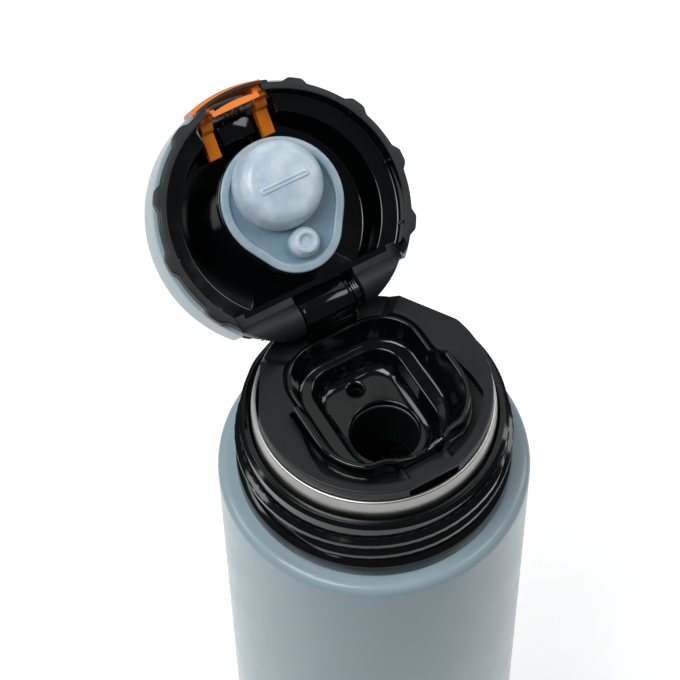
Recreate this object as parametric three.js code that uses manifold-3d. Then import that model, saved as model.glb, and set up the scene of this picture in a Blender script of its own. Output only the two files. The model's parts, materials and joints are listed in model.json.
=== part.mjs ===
// A vacuum water bottle with a screw-in drinking cap and a sprung, latching lid, shown open.
//
// Millimetres, +Z up, origin at the centre of the foot. The hinge of the lid is at the back (+Y) and
// the release button at the front (-Y). The lid is drawn closed, in the frame of the bottle, and one
// group then turns it open about the hinge pin.

import * as THREE from 'three';
import { mergeVertices } from 'three/addons/utils/BufferGeometryUtils.js';
import Module from 'manifold-3d';

const wasm = await Module();
wasm.setup();

// ---------------------------------------------------------------- driving dimensions

const GAP = 0.3;                   // assembly gap between pieces that touch
const ROUND = 32;                  // facets of the large round bodies
const FINE_ROUND = 72;             // facets of the round bodies that show most

// Bottle
const BODY_R = 37;                 // outer radius of the painted body
const MOUTH_Z = 218;               // height of the lower visible edge of the steel mouth
const SHELL_WALL = 0.5;
const LINER_WALL = 0.4;
const NECK_WALL = 0.8;
const PLATE_WALL = 0.6;            // thickness of the foot's plate
const FOIL = 0.15;                 // thickness of the heat shield
const LINER_R = 33.6;              // outer radius of the inner flask
const NECK_R = 28.2;               // outer radius of the steel neck
const BORE_R = 24.9;               // inner radius of the mouth
const SHOULDER_Z = MOUTH_Z - 20.6; // top of the shoulder, under the collar
const SHOULDER_ROUND = 2.4;        // round between the shoulder and the wall
const FOOT_ROUND = 4;              // round between the wall and the foot
const FOOT_PLATE_R = 31.5;
const VACUUM_PLATE_R = 33;
const VACUUM_PLATE_Z = 0.9;        // clear of the foot's plate
const VACUUM_HOLE_R = 1.6;
const LINER_FOOT = 5;              // underside of the inner flask

// Collar
const COLLAR_R = 31.1;             // root of the collar's thread
const COLLAR_CREST_R = 32.45;
const COLLAR_TOP = MOUTH_Z - 0.6;
const COLLAR_BOTTOM = MOUTH_Z - 20.3;
const COLLAR_LEAD = 9.5;           // rise of the collar's two-start thread in one turn
const COLLAR_THREAD_LOW = MOUTH_Z - 12.7;
const COLLAR_THREAD_SWEEP = 300;   // degrees that each start runs
const COLLAR_THREAD_AT = -160;     // degrees, where the first start begins

// Cap
const PLATE_R = 27.15;
const PLATE_LOW = MOUTH_Z + 5.0;
const PLATE_TOP = MOUTH_Z + 8.3;
const PLATE_BACK_TOP = MOUTH_Z + 6.0;
const LIP_TOP = MOUTH_Z + 11.3;
const LIP_HALF = 19.2;             // the drinking lip's outline: half width, front and corner radius
const LIP_FRONT = -20.8;
const LIP_CORNER_R = 14;
const MOAT_R = 24.8;               // outer edge of the moat round the front of the lip
const MOAT_HALF = 21.2;
const CATCH_HALF = 7.3;            // half width of the latch's catch, which stands in the moat
const BOWL_FLOOR = MOUTH_Z - 3.5;
const BOWL_UNDER = MOUTH_Z - 5.0;
const POUR_R = 8.1;
const POUR_Y = -4.8;
const VENT_R = 1.6;
const VENT_Y = 8.6;
const PLUG_R = 23.1;               // root of the plug's thread
const PLUG_CREST_R = 24.4;
const LINER_CREST_R = 23.5;
const PLUG_TOP = MOUTH_Z + 4.6;
const PLUG_BOTTOM = MOUTH_Z - 21;
const PLUG_WALL = 1.5;
const MOUTH_PITCH = 5;             // pitch of the thread between the plug and the mouth
const MOUTH_THREAD_LOW = MOUTH_Z - 13;

// Hinge
const HINGE_Y = 23.07;
const HINGE_Z = MOUTH_Z + 12.98;
const BARREL_R = 4.4;
const PIN_R = 1.3;
const KNUCKLE_HALF = 6.3;
const SPRING_HALF_END = 9.2;       // the right barrel starts here, past the hinge spring
const LEFT_BARREL = 6.7;
const OPEN_ANGLE = 148.56;         // degrees from closed to thrown open

// Lid, with depth measured up from its rim plane
const RIM_Z = MOUTH_Z + 4.7;
const RIM_R = 29.4;
const RIM_BORE_R = 27.75;
const RIM_BAND = 3.1;              // height of the black rim band
const INNER_R = 23.3;              // inner wall above the ledge
const LEDGE = 5;
const CEILING = 17;
const SHELL_R = 30.3;
const SHELL_INNER_R = 29.1;
const LID_HEIGHT = 23;
const HINGE_CUT_HALF = 21;         // half width of the rim's gap at the hinge
const CHORD_Y = 18.2;              // back face of the lid's wall in front of the knuckle
const SEAL_HALF = 14.4;
const SEAL_FRONT_Y = -2.6;         // centres of the two rounds that make the seal's egg outline
const SEAL_BACK_Y = 3.8;
const SEAL_BACK_R = 11;
const DOME_R = 10.35;
const DOME_Y = -6.0;
const NUB_R = 3.5;
const NUB_Y = 8.3;

// Button
const BUTTON_HALF = 9;
const BUTTON_PIN_Y = -25.6;
const BUTTON_PIN_Z = RIM_Z + 8;
const LEG_X = 7;
const LEG_HALF = 1.85;
const HOOK_HALF = 6;
const WINDOW_HALF = 9.5;

// ---------------------------------------------------------------- materials

function finish(hex, roughness, metalness = 0) {
  return new THREE.MeshStandardMaterial({ color: hex, roughness, metalness });
}

const PAINT = finish(0x8ea0a6, 0.4);
const STEEL = finish(0xc9cac8, 0.3, 1);
const FOIL_METAL = finish(0xd8d9da, 0.35, 1);
const BLACK_GLOSS = finish(0x0b0e10, 0.12);
const BLACK_MATT = finish(0x23282b, 0.55);
const SILICONE = finish(0xa9c6d4, 0.45);
const RUBBER_GREY = finish(0xb9c0c2, 0.6);
const ORANGE = finish(0xf07f13, 0.4);
const FOAM = finish(0xe6e2d4, 0.9);
const GLASS_BEAD = finish(0x9aa3a5, 0.3);

// ---------------------------------------------------------------- solids

const rad = THREE.MathUtils.degToRad;

// Makes a solid from a closed geometry: only positions, shared vertices merged, no empty triangles.
function solid(geometry) {
  const bare = geometry.index ? geometry.toNonIndexed() : geometry.clone();
  bare.deleteAttribute('normal');
  bare.deleteAttribute('uv');
  const merged = mergeVertices(bare, 1e-4);
  const index = merged.index.array;
  const triangles = [];
  for (let i = 0; i < index.length; i += 3) {
    const [a, b, c] = [index[i], index[i + 1], index[i + 2]];
    if (a !== b && b !== c && c !== a) triangles.push(a, b, c);
  }
  const vertProperties = Float32Array.from(merged.attributes.position.array);
  const triVerts = Uint32Array.from(triangles);
  return new wasm.Manifold(new wasm.Mesh({ numProp: 3, vertProperties, triVerts }));
}

function geometryOf(piece) {
  const { vertProperties, triVerts } = piece.getMesh();
  const geometry = new THREE.BufferGeometry();
  geometry.setAttribute('position', new THREE.BufferAttribute(vertProperties, 3));
  geometry.setIndex(new THREE.BufferAttribute(triVerts, 1));
  geometry.computeVertexNormals();
  return geometry;
}

const join = (...pieces) => pieces.reduce((whole, piece) => whole.add(piece));
const cut = (piece, ...tools) => tools.reduce((rest, tool) => rest.subtract(tool), piece);

// A body turned about the Z axis from a closed outline of [radius, height] points.
function turned(outline, segments = ROUND) {
  const points = outline.map(([r, z]) => new THREE.Vector2(Math.max(r, 0), z));
  if (THREE.ShapeUtils.area(points) < 0) points.reverse();
  const axis = points.findIndex((p, i) => p.x === 0 && points[(i + 1) % points.length].x === 0);
  const opened = axis < 0 ? [...points, points[0]]
    : [...points.slice(axis + 1), ...points.slice(0, axis + 1)];
  const lathe = new THREE.LatheGeometry(opened, segments);
  lathe.rotateX(Math.PI / 2);
  return solid(lathe);
}

function tube(outer, inner, low, high, segments = ROUND) {
  return turned([[inner, low], [outer, low], [outer, high], [inner, high]], segments);
}

function disc(r, low, high, x = 0, y = 0, segments = ROUND) {
  return turned([[0, low], [r, low], [r, high], [0, high]], segments).translate([x, y, 0]);
}

function box(xLow, xHigh, yLow, yHigh, zLow, zHigh) {
  const shape = new THREE.BoxGeometry(xHigh - xLow, yHigh - yLow, zHigh - zLow);
  shape.translate((xLow + xHigh) / 2, (yLow + yHigh) / 2, (zLow + zHigh) / 2);
  return solid(shape);
}

// A rod along X, centred on (y, z).
function rod(r, xLow, xHigh, y, z, segments = 20) {
  const cylinder = new THREE.CylinderGeometry(r, r, xHigh - xLow, segments);
  cylinder.rotateZ(Math.PI / 2);
  cylinder.translate((xLow + xHigh) / 2, y, z);
  return solid(cylinder);
}

// A flat outline of [x, y] points raised from one height to another.
function raised(outline, low, high) {
  const shape = new THREE.Shape(outline.map(([x, y]) => new THREE.Vector2(x, y)));
  const body = new THREE.ExtrudeGeometry(shape, { depth: high - low, bevelEnabled: false });
  body.translate(0, 0, low);
  return solid(body);
}

// A side outline of [y, z] points run along X.
function profileX(outline, xLow, xHigh) {
  const shape = new THREE.Shape(outline.map(([y, z]) => new THREE.Vector2(y, z)));
  const body = new THREE.ExtrudeGeometry(shape, { depth: xHigh - xLow, bevelEnabled: false });
  body.applyMatrix4(new THREE.Matrix4().makeBasis(
    new THREE.Vector3(0, 1, 0), new THREE.Vector3(0, 0, 1), new THREE.Vector3(1, 0, 0)));
  body.translate(xLow, 0, 0);
  return solid(body);
}

// A round-cornered outline: straight sides, with one corner radius in front and one behind.
function roundedOutline({ half, front, back, frontR, backR }, steps = 6) {
  const corners = [
    [half - frontR, front + frontR, frontR, -90],
    [half - backR, back - backR, backR, 0],
    [backR - half, back - backR, backR, 90],
    [frontR - half, front + frontR, frontR, 180],
  ];
  const points = [];
  for (const [x, y, r, start] of corners) {
    for (let i = 0; i <= steps; i++) {
      const a = rad(start + 90 * i / steps);
      points.push([x + r * Math.cos(a), y + r * Math.sin(a)]);
    }
  }
  return points;
}

// A closed body skinned over level outlines, all with the same number of points.
function lofted(levels) {
  const count = levels[0].outline.length;
  const positions = levels.flatMap(({ outline, z }) => outline.flatMap(([x, y]) => [x, y, z]));
  const index = [];
  for (let level = 0; level + 1 < levels.length; level++) {
    for (let i = 0; i < count; i++) {
      const [a, b] = [level * count + i, level * count + (i + 1) % count];
      index.push(a, b, b + count, a, b + count, a + count);
    }
  }
  const cap = THREE.ShapeUtils.triangulateShape(
    levels[0].outline.map(([x, y]) => new THREE.Vector2(x, y)), []);
  const top = (levels.length - 1) * count;
  for (const [a, b, c] of cap) {
    index.push(c, b, a, top + a, top + b, top + c);
  }
  const geometry = new THREE.BufferGeometry();
  geometry.setAttribute('position', new THREE.Float32BufferAttribute(positions, 3));
  geometry.setIndex(index);
  return solid(geometry);
}

// A thread ridge: a trapezoid carried round a helix, thinned to nothing at its two ends.
function threadRidge({ rootR, crestR, rootWidth, crestWidth, lead, low, from, sweep, step = 20 }) {
  const steps = Math.round(sweep / step);
  const positions = [];
  for (let i = 0; i <= steps; i++) {
    const t = i / steps;
    const a = rad(from + sweep * t);
    const z = low + lead * sweep * t / 360;
    const fade = Math.min(1, 0.15 + Math.min(i, steps - i) / 3);
    const crest = rootR + (crestR - rootR) * fade;
    const ring = [[rootR, -rootWidth / 2], [crest, -crestWidth / 2], [crest, crestWidth / 2],
      [rootR, rootWidth / 2]];
    for (const [r, dz] of ring) positions.push(r * Math.cos(a), r * Math.sin(a), z + dz);
  }
  const index = [];
  for (let i = 0; i < steps; i++) {
    for (let k = 0; k < 4; k++) {
      const [a, b] = [4 * i + k, 4 * i + (k + 1) % 4];
      index.push(a, a + 4, b, b, a + 4, b + 4);
    }
  }
  const end = 4 * steps;
  index.push(0, 1, 2, 0, 2, 3, end, end + 2, end + 1, end, end + 3, end + 2);
  if (crestR < rootR) {
    for (let i = 0; i < index.length; i += 3) [index[i + 1], index[i + 2]] = [index[i + 2], index[i + 1]];
  }
  const geometry = new THREE.BufferGeometry();
  geometry.setAttribute('position', new THREE.Float32BufferAttribute(positions, 3));
  geometry.setIndex(index);
  return solid(geometry);
}

// A wire coil about an axis along X.
function coilX({ r, wire, turns, xLow, xHigh, y, z, perTurn = 8 }) {
  class Helix extends THREE.Curve {
    getPoint(t, target = new THREE.Vector3()) {
      const a = 2 * Math.PI * turns * t;
      return target.set(xLow + (xHigh - xLow) * t, y + r * Math.cos(a), z + r * Math.sin(a));
    }
  }
  const section = new THREE.Shape();
  section.absarc(0, 0, wire, 0, 2 * Math.PI, false);
  const steps = Math.round(turns * perTurn);
  return solid(new THREE.ExtrudeGeometry(section,
    { steps, curveSegments: 3, bevelEnabled: false, extrudePath: new Helix() }));
}

function mesh(name, piece, material) {
  const part = new THREE.Mesh(geometryOf(piece), material);
  part.name = name;
  return part;
}

// ---------------------------------------------------------------- bottle

// The shoulder's round, from under the collar down to the straight wall.
function shoulderArc(inset, steps = 3) {
  const points = [];
  for (let i = 0; i <= steps; i++) {
    const a = rad(90 * i / steps);
    points.push([BODY_R - SHOULDER_ROUND + (SHOULDER_ROUND - inset) * Math.sin(a),
      SHOULDER_Z - SHOULDER_ROUND + (SHOULDER_ROUND - inset) * Math.cos(a)]);
  }
  return points;
}

function footArc(inset, steps = 2) {
  const points = [];
  for (let i = 0; i <= steps; i++) {
    const a = rad(90 * i / steps);
    points.push([BODY_R - FOOT_ROUND + (FOOT_ROUND - inset) * Math.cos(a),
      FOOT_ROUND - (FOOT_ROUND - inset) * Math.sin(a)]);
  }
  return points;
}

function outerShell() {
  const collarHole = NECK_R + GAP;
  return turned([
    [collarHole, SHOULDER_Z],
    ...shoulderArc(0),
    ...footArc(0),
    [FOOT_PLATE_R + GAP, 0],
    [FOOT_PLATE_R + GAP, SHELL_WALL],
    ...footArc(SHELL_WALL).reverse(),
    ...shoulderArc(SHELL_WALL).reverse(),
    [collarHole, SHOULDER_Z - SHELL_WALL],
  ]);
}

function neckRing() {
  const inner = NECK_R - NECK_WALL;
  return turned([
    [NECK_R, MOUTH_Z - 22], [NECK_R, MOUTH_Z], [NECK_R - 0.1, MOUTH_Z + 1.6],
    [NECK_R - 0.3, MOUTH_Z + 3.1], [NECK_R - 0.6, MOUTH_Z + 4.3], [NECK_R - 1, MOUTH_Z + 4.7],
    [NECK_R - 1.4, MOUTH_Z + 4.5], [NECK_R - 1.4, MOUTH_Z + 3.7], [inner, MOUTH_Z + 2.4],
    [inner, MOUTH_Z - 22],
  ]);
}

function innerLiner() {
  const [bodyInner, neckOuter] = [LINER_R - LINER_WALL, BORE_R + LINER_WALL - 0.1];
  const [low, neckLow] = [LINER_FOOT, MOUTH_Z - 27];
  const flask = turned([
    [BORE_R, MOUTH_Z + 4.2], [BORE_R, neckLow], [bodyInner - 3, neckLow - 4],
    [bodyInner, neckLow - 9], [bodyInner, low + 8], [bodyInner - 2.5, low + 3],
    [bodyInner - 8, low + 0.8], [0, low + 0.8],
    [0, low], [LINER_R - 8, low], [LINER_R - 2.4, low + 2.2], [LINER_R, low + 7.5],
    [LINER_R, neckLow - 8.4], [LINER_R - 3, neckLow - 3.2], [neckOuter, neckLow + 0.6],
    [neckOuter, MOUTH_Z + 4.2],
  ]);
  const thread = threadRidge({
    rootR: BORE_R + 0.2, crestR: LINER_CREST_R, rootWidth: 2.6, crestWidth: 1.5,
    lead: MOUTH_PITCH, low: MOUTH_THREAD_LOW + MOUTH_PITCH, from: 0, sweep: 360,
  });
  return join(flask, thread);
}

// A flat foot cover with one shallow pressed ring.
function basePlate() {
  const under = [[0, 0], [22, 0], [22.4, 0.3], [24.6, 0.3], [25, 0], [FOOT_PLATE_R, 0]];
  const upper = under.map(([r, z]) => [r, z + PLATE_WALL]).reverse();
  return turned([...under, ...upper]);
}

// The plate above the cover that closes the vacuum, with its evacuation hole in the middle.
function vacuumPlate() {
  const under = [[0, VACUUM_PLATE_Z + 0.8], [20, VACUUM_PLATE_Z + 0.8], [23, VACUUM_PLATE_Z],
    [VACUUM_PLATE_R, VACUUM_PLATE_Z]];
  const upper = under.map(([r, z]) => [r, z + PLATE_WALL]).reverse();
  return cut(turned([...under, ...upper]), disc(VACUUM_HOLE_R, 0, FOOT_ROUND, 0, 0, 12));
}

function collarProfile() {
  const bore = NECK_R + GAP;
  return [
    [bore, COLLAR_TOP - 0.9], [bore + 0.5, COLLAR_TOP], [COLLAR_R - 0.5, COLLAR_TOP],
    [COLLAR_R, COLLAR_TOP - 0.5], [COLLAR_R, MOUTH_Z - 15.6], [COLLAR_CREST_R, MOUTH_Z - 16.4],
    [COLLAR_CREST_R + 0.1, MOUTH_Z - 17], [COLLAR_CREST_R + 0.1, COLLAR_BOTTOM + 0.4],
    [COLLAR_CREST_R - 0.3, COLLAR_BOTTOM], [bore, COLLAR_BOTTOM],
  ];
}

function neckCollar() {
  const starts = [0, 180].map((turn) => threadRidge({
    rootR: COLLAR_R - 0.4, crestR: COLLAR_CREST_R, rootWidth: 3, crestWidth: 1.4,
    lead: COLLAR_LEAD, low: COLLAR_THREAD_LOW, from: COLLAR_THREAD_AT + turn,
    sweep: COLLAR_THREAD_SWEEP,
  }));
  return join(turned(collarProfile(), FINE_ROUND), ...starts);
}

// ---------------------------------------------------------------- cap

// Level outlines of the bowl's hollow: a well over the floor, a ledge, then the wide opening.
const HOLLOW_LEVELS = [
  { z: BOWL_FLOOR, half: 8.9, front: -13.2, back: 11.4, frontR: 7.4, backR: 5 },
  { z: BOWL_FLOOR + 0.6, half: 9.9, front: -14.8, back: 12.2, frontR: 8.4, backR: 5.6 },
  { z: BOWL_FLOOR + 2.1, half: 10.6, front: -16.3, back: 12.8, frontR: 9, backR: 6 },
  { z: BOWL_FLOOR + 5.2, half: 11.4, front: -17.2, back: 13.4, frontR: 9.6, backR: 6.4 },
  { z: BOWL_FLOOR + 5.6, half: 12.4, front: -17.6, back: 14.2, frontR: 10.6, backR: 7.2 },
  { z: BOWL_FLOOR + 6, half: 15.4, front: -18, back: 15.8, frontR: 13.6, backR: 9.4 },
  { z: PLATE_TOP, half: 17.1, front: -18.8, back: 17.4, frontR: 16.8, backR: 10.4 },
  { z: LIP_TOP + 1, half: 17.3, front: -18.9, back: 17.5, frontR: 17, backR: 10.5 },
];

const BODY_LEVELS = [
  { z: BOWL_UNDER, half: 9.6, front: -14.2, back: 12.2, frontR: 8, backR: 5.6 },
  { z: BOWL_UNDER + 1.2, half: 11.6, front: -16.8, back: 13.9, frontR: 10, backR: 7 },
  { z: BOWL_UNDER + 5.4, half: 12.9, front: -18.6, back: 14.9, frontR: 11.2, backR: 8 },
  { z: BOWL_UNDER + 6, half: 16.8, front: -19.4, back: 17.2, frontR: 15, backR: 10.4 },
  { z: PLATE_TOP, half: 18.3, front: -20.1, back: 18.6, frontR: 18, backR: 11.4 },
];

const levelled = (levels) => levels.map((level) => ({ z: level.z, outline: roundedOutline(level) }));

// The lip's outline, swollen by a margin, from its front to a place beside the hinge.
function lipOutline(margin, back) {
  return roundedOutline({
    half: LIP_HALF + margin, front: LIP_FRONT - margin, back, frontR: LIP_CORNER_R + margin, backR: 0.5,
  }, 8);
}

function drinkingBowl() {
  const lip = raised(lipOutline(0, 4.5), PLATE_TOP - 2, LIP_TOP);
  const flange = raised(lipOutline(0.5, 4.5), PLATE_LOW + 0.9, PLATE_TOP - 1.5);
  const shape = join(lofted(levelled(BODY_LEVELS)), lip, flange);
  const frontDip = rod(7, -40, 0, 0, 0, 32).rotate([0, 0, 90]).translate([0, 0, LIP_TOP + 5.4]);
  const vent = join(disc(VENT_R, BOWL_UNDER - 1, BOWL_FLOOR + 1, 0, VENT_Y, 16),
    disc(VENT_R + 1, BOWL_FLOOR - 0.5, BOWL_FLOOR + 1, 0, VENT_Y, 16));
  const pour = disc(POUR_R, BOWL_UNDER - 1, BOWL_FLOOR + 1, 0, POUR_Y);
  return cut(shape, lofted(levelled(HOLLOW_LEVELS)), frontDip, pour, vent);
}

// The latch catch: a recess behind a front bar, and a slot under the bar for the hook.
function latchCuts() {
  const recess = profileX([
    [-25.5, PLATE_TOP + 1], [-25.5, PLATE_TOP - 1.1], [-22.2, PLATE_TOP - 1.6],
    [-20.9, PLATE_TOP - 1.6], [-20.9, PLATE_TOP + 1],
  ], -5.7, 5.7);
  const slot = box(-6.4, 6.4, -29, -25.2, PLATE_LOW - 1, PLATE_LOW + 2.4);
  const barFront = box(-6.4, 6.4, -29, -26.7, PLATE_LOW - 1, PLATE_TOP + 1);
  return [recess, slot, barFront];
}

function capPlate() {
  const blank = turned([
    [0, PLATE_LOW], [PLATE_R, PLATE_LOW], [PLATE_R, PLATE_TOP - 0.4],
    [PLATE_R - 0.4, PLATE_TOP], [0, PLATE_TOP],
  ]);
  const sideTrims = [31, 149].map((angle) => box(25.5, 40, -30, 30, PLATE_LOW - 1, PLATE_TOP + 1)
    .rotate([0, 0, angle]));
  const backHole = roundedOutline({ half: 18.6, front: -20.4, back: 18.9, frontR: 18.3, backR: 11.7 });
  const bowlHole = join(raised(backHole, PLATE_LOW - 1, PLATE_TOP + 1),
    raised(lipOutline(0.3, 4.8), PLATE_LOW - 1, PLATE_TOP + 1),
    raised(lipOutline(0.8, 4.8), PLATE_LOW + 0.6, PLATE_TOP + 1));
  const moat = cut(disc(MOAT_R, PLATE_LOW + 0.6, PLATE_TOP + 1, 0, 0, FINE_ROUND)
    .intersect(box(-MOAT_HALF, MOAT_HALF, -40, -6, PLATE_LOW, PLATE_TOP + 2)),
  box(-CATCH_HALF, CATCH_HALF, -40, -20, PLATE_LOW, PLATE_TOP + 2));
  const backSteps = [-1, 1].map((side) => {
    const [low, high] = side < 0 ? [-30, -KNUCKLE_HALF] : [KNUCKLE_HALF, 30];
    return profileX([[16.4, PLATE_TOP + 1], [16.4, PLATE_TOP], [19, PLATE_BACK_TOP],
      [30, PLATE_BACK_TOP], [30, PLATE_TOP + 1]], low, high);
  });
  const knuckle = join(rod(BARREL_R + 0.2, -KNUCKLE_HALF, KNUCKLE_HALF, HINGE_Y, HINGE_Z, 28),
    profileX([[HINGE_Y - 4.1, PLATE_TOP - 1], [HINGE_Y + 3.6, PLATE_TOP - 1],
      [HINGE_Y + 4.4, HINGE_Z], [HINGE_Y - 4.5, HINGE_Z]], -KNUCKLE_HALF, KNUCKLE_HALF));
  const pinHole = rod(PIN_R + 0.3, -30, 30, HINGE_Y, HINGE_Z);
  const plate = cut(blank, ...sideTrims, bowlHole, moat, ...backSteps, ...latchCuts());
  return cut(join(plate, knuckle), pinHole);
}

function pourTube(outer, low, high) {
  return disc(outer, low, high, 0, POUR_Y);
}

function capPlug() {
  const cup = turned([
    [PLUG_R - PLUG_WALL, PLUG_TOP], [PLUG_R - PLUG_WALL, PLUG_BOTTOM + PLUG_WALL],
    [0, PLUG_BOTTOM + PLUG_WALL], [0, PLUG_BOTTOM], [PLUG_R - 1.5, PLUG_BOTTOM],
    [PLUG_R, PLUG_BOTTOM + 1.5], [PLUG_R, PLUG_TOP],
  ]);
  const thread = threadRidge({
    rootR: PLUG_R - 0.3, crestR: PLUG_CREST_R, rootWidth: 2.4, crestWidth: 1.3,
    lead: MOUTH_PITCH, low: MOUTH_THREAD_LOW - MOUTH_PITCH / 2 + 0.2, from: 0, sweep: 400,
  });
  const [tubeTop, floor] = [BOWL_UNDER - 1.1, PLUG_BOTTOM + 0.2];
  const tubes = join(pourTube(POUR_R + 1.2, floor, tubeTop),
    disc(VENT_R + 1.2, floor, tubeTop, 0, VENT_Y, 16));
  const holes = join(pourTube(POUR_R, PLUG_BOTTOM - 1, tubeTop + 1),
    disc(VENT_R, PLUG_BOTTOM - 1, tubeTop + 1, 0, VENT_Y, 16));
  return cut(join(cup, thread, tubes), holes);
}

function capInsulation() {
  const [low, high] = [PLUG_BOTTOM + PLUG_WALL + GAP, BOWL_UNDER - 2];
  return cut(disc(PLUG_R - PLUG_WALL - GAP, low, high),
    pourTube(POUR_R + 1.2 + GAP, low - 1, high + 1),
    disc(VENT_R + 1.2 + GAP, low - 1, high + 1, 0, VENT_Y, 16));
}

function channelSeal() {
  const [low, high] = [BOWL_UNDER - 0.85, BOWL_UNDER - 0.25];
  return tube(POUR_R + 1.1, POUR_R + 0.1, low, high).translate([0, POUR_Y, 0]);
}

function mouthGasket() {
  return turned([
    [PLUG_R + 0.3, MOUTH_Z + 0.8], [BORE_R - 0.7, MOUTH_Z + 0.8], [BORE_R - 0.35, MOUTH_Z + 1.4],
    [BORE_R - 0.7, MOUTH_Z + 2.4], [BORE_R - 0.35, MOUTH_Z + 3.4], [BORE_R - 0.35, MOUTH_Z + 4.2],
    [PLUG_R + 0.3, MOUTH_Z + 4.2],
  ]);
}

function hingeSpring() {
  return coilX({ r: 2.7, wire: 0.4, turns: 2.5, xLow: 6.9, xHigh: 8.7, y: HINGE_Y, z: HINGE_Z });
}

// ---------------------------------------------------------------- lid, drawn closed

const depth = (d) => RIM_Z + d;

// The room that the cap's plate and the mouth need when the lid is thrown back.
function swingCut() {
  const a = rad(OPEN_ANGLE);
  const corner = [[5.6, -6.4], [5.6, -40], [-60, -40], [-60, -6.4]];
  const closed = corner.map(([y, z]) => [
    HINGE_Y + y * Math.cos(a) - z * Math.sin(a),
    HINGE_Z + y * Math.sin(a) + z * Math.cos(a),
  ]);
  return profileX(closed.reverse(), -40, 40);
}

function rimBumps() {
  const bumps = [];
  for (let angle = -180; angle < 180; angle += 30) {
    const onHinge = angle > 30 && angle < 150;
    if (angle === -90 || onHinge) continue;
    const [x, y] = [27.5 * Math.cos(rad(angle)), 27.5 * Math.sin(rad(angle))];
    bumps.push(disc(3, depth(0.3), depth(RIM_BAND), x, y, 12));
  }
  return bumps;
}

// The room inside the cover, widened at the foot by the radius that the piece may reach there.
function coverRoom(footR) {
  return turned([[0, -6], [footR, -6], [footR, 8.2], [28, 12.5], [26.2, 16.2], [20, 19.5], [0, 19.5]]
    .map(([r, d]) => [r, depth(d)]));
}

function hingeBarrels() {
  const top = depth(CEILING - 1);
  const arms = [[-HINGE_CUT_HALF, -LEFT_BARREL], [SPRING_HALF_END, HINGE_CUT_HALF]];
  const barrels = arms.map(([low, high]) => join(
    rod(BARREL_R, low, high, HINGE_Y, HINGE_Z, 28),
    profileX([[CHORD_Y - 1.3, depth(LEDGE)], [HINGE_Y - 3, HINGE_Z - 3], [HINGE_Y, HINGE_Z],
      [HINGE_Y, HINGE_Z + BARREL_R], [CHORD_Y + 2, top], [CHORD_Y - 1.3, top]], low, high)));
  return join(...barrels).intersect(coverRoom(RIM_R - 0.1));
}

function buttonCheeks() {
  const cheeks = [[-12.2, -WINDOW_HALF], [WINDOW_HALF, 12.2]].map(([low, high]) =>
    box(low, high, -29, -22, depth(LEDGE + 0.4), depth(10.6)));
  return join(...cheeks).intersect(coverRoom(SHELL_INNER_R - GAP));
}

function lidLiner() {
  const bowl = turned([
    [RIM_BORE_R, depth(0)], [RIM_R - 0.4, depth(0)], [RIM_R, depth(0.4)],
    [RIM_R, depth(RIM_BAND)], [SHELL_INNER_R - GAP, depth(RIM_BAND)],
    [SHELL_INNER_R - GAP, depth(LEDGE + 1.2)], [INNER_R + 1.3, depth(LEDGE + 1.2)],
    [INNER_R + 1.3, depth(CEILING - 1.5)], [INNER_R - 0.6, depth(CEILING + 1.2)],
    [0, depth(CEILING + 1.2)], [0, depth(CEILING)], [INNER_R - 1.6, depth(CEILING)],
    [INNER_R, depth(CEILING - 1.6)], [INNER_R, depth(LEDGE)], [RIM_BORE_R, depth(LEDGE)],
  ]);
  const bore = disc(RIM_BORE_R, depth(-1), depth(LEDGE));
  const hingeRoom = box(-HINGE_CUT_HALF, HINGE_CUT_HALF, CHORD_Y - 1.3, 40, depth(-1), depth(30));
  const chord = box(-18.6, 18.6, CHORD_Y - 1.3, CHORD_Y, depth(LEDGE), depth(CEILING + 0.2));
  const window = box(-WINDOW_HALF, WINDOW_HALF, -40, -20.8, depth(2.3), depth(15));
  const hookRoom = disc(RIM_R - 0.3, depth(-1), depth(2.4))
    .intersect(box(-HOOK_HALF - 1.2, HOOK_HALF + 1.2, -40, -24, depth(-1), depth(3)));
  const frontPad = disc(RIM_R + 0.7, depth(0.3), depth(2.3))
    .intersect(box(-BUTTON_HALF, BUTTON_HALF, -40, -20, depth(-1), depth(3)));
  const block = cut(box(-4, 4, -24.8, -19.5, depth(7.6), depth(CEILING + 0.2)),
    rod(2.6, -5, 5, BUTTON_PIN_Y, BUTTON_PIN_Z, 20));
  const pinBore = rod(1.1, -11.7, 11.7, BUTTON_PIN_Y, BUTTON_PIN_Z, 12);
  const hingeBore = rod(PIN_R + 0.3, -17.2, 17.2, HINGE_Y, HINGE_Z);
  const rim = cut(join(bowl, frontPad, ...rimBumps()), bore, hingeRoom, window, hookRoom);
  return cut(join(rim, chord, hingeBarrels(), buttonCheeks(), block), pinBore, hingeBore, swingCut());
}

function lidShell() {
  const outer = [[SHELL_R, 3.4], [SHELL_R, 8.5], [29.6, 12.5], [28, 16.2], [25, 19.6], [20, 21.8],
    [0, LID_HEIGHT]];
  const inner = [[0, LID_HEIGHT - 1.2], [19.6, 20.7], [24.2, 18.8], [26.9, 15.8], [28.4, 12.3],
    [SHELL_INNER_R, 8.3], [SHELL_INNER_R, 3.4]];
  const shell = turned([...outer, ...inner].map(([r, d]) => [r, depth(d)]), FINE_ROUND);
  const window = box(-WINDOW_HALF, WINDOW_HALF, -40, -20, depth(-1), depth(15.2));
  const hingeNotch = box(-HINGE_CUT_HALF - 0.3, HINGE_CUT_HALF + 0.3, CHORD_Y - 0.5, 40,
    depth(-1), depth(CEILING + 1.6));
  return cut(shell, window, hingeNotch, swingCut());
}

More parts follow.
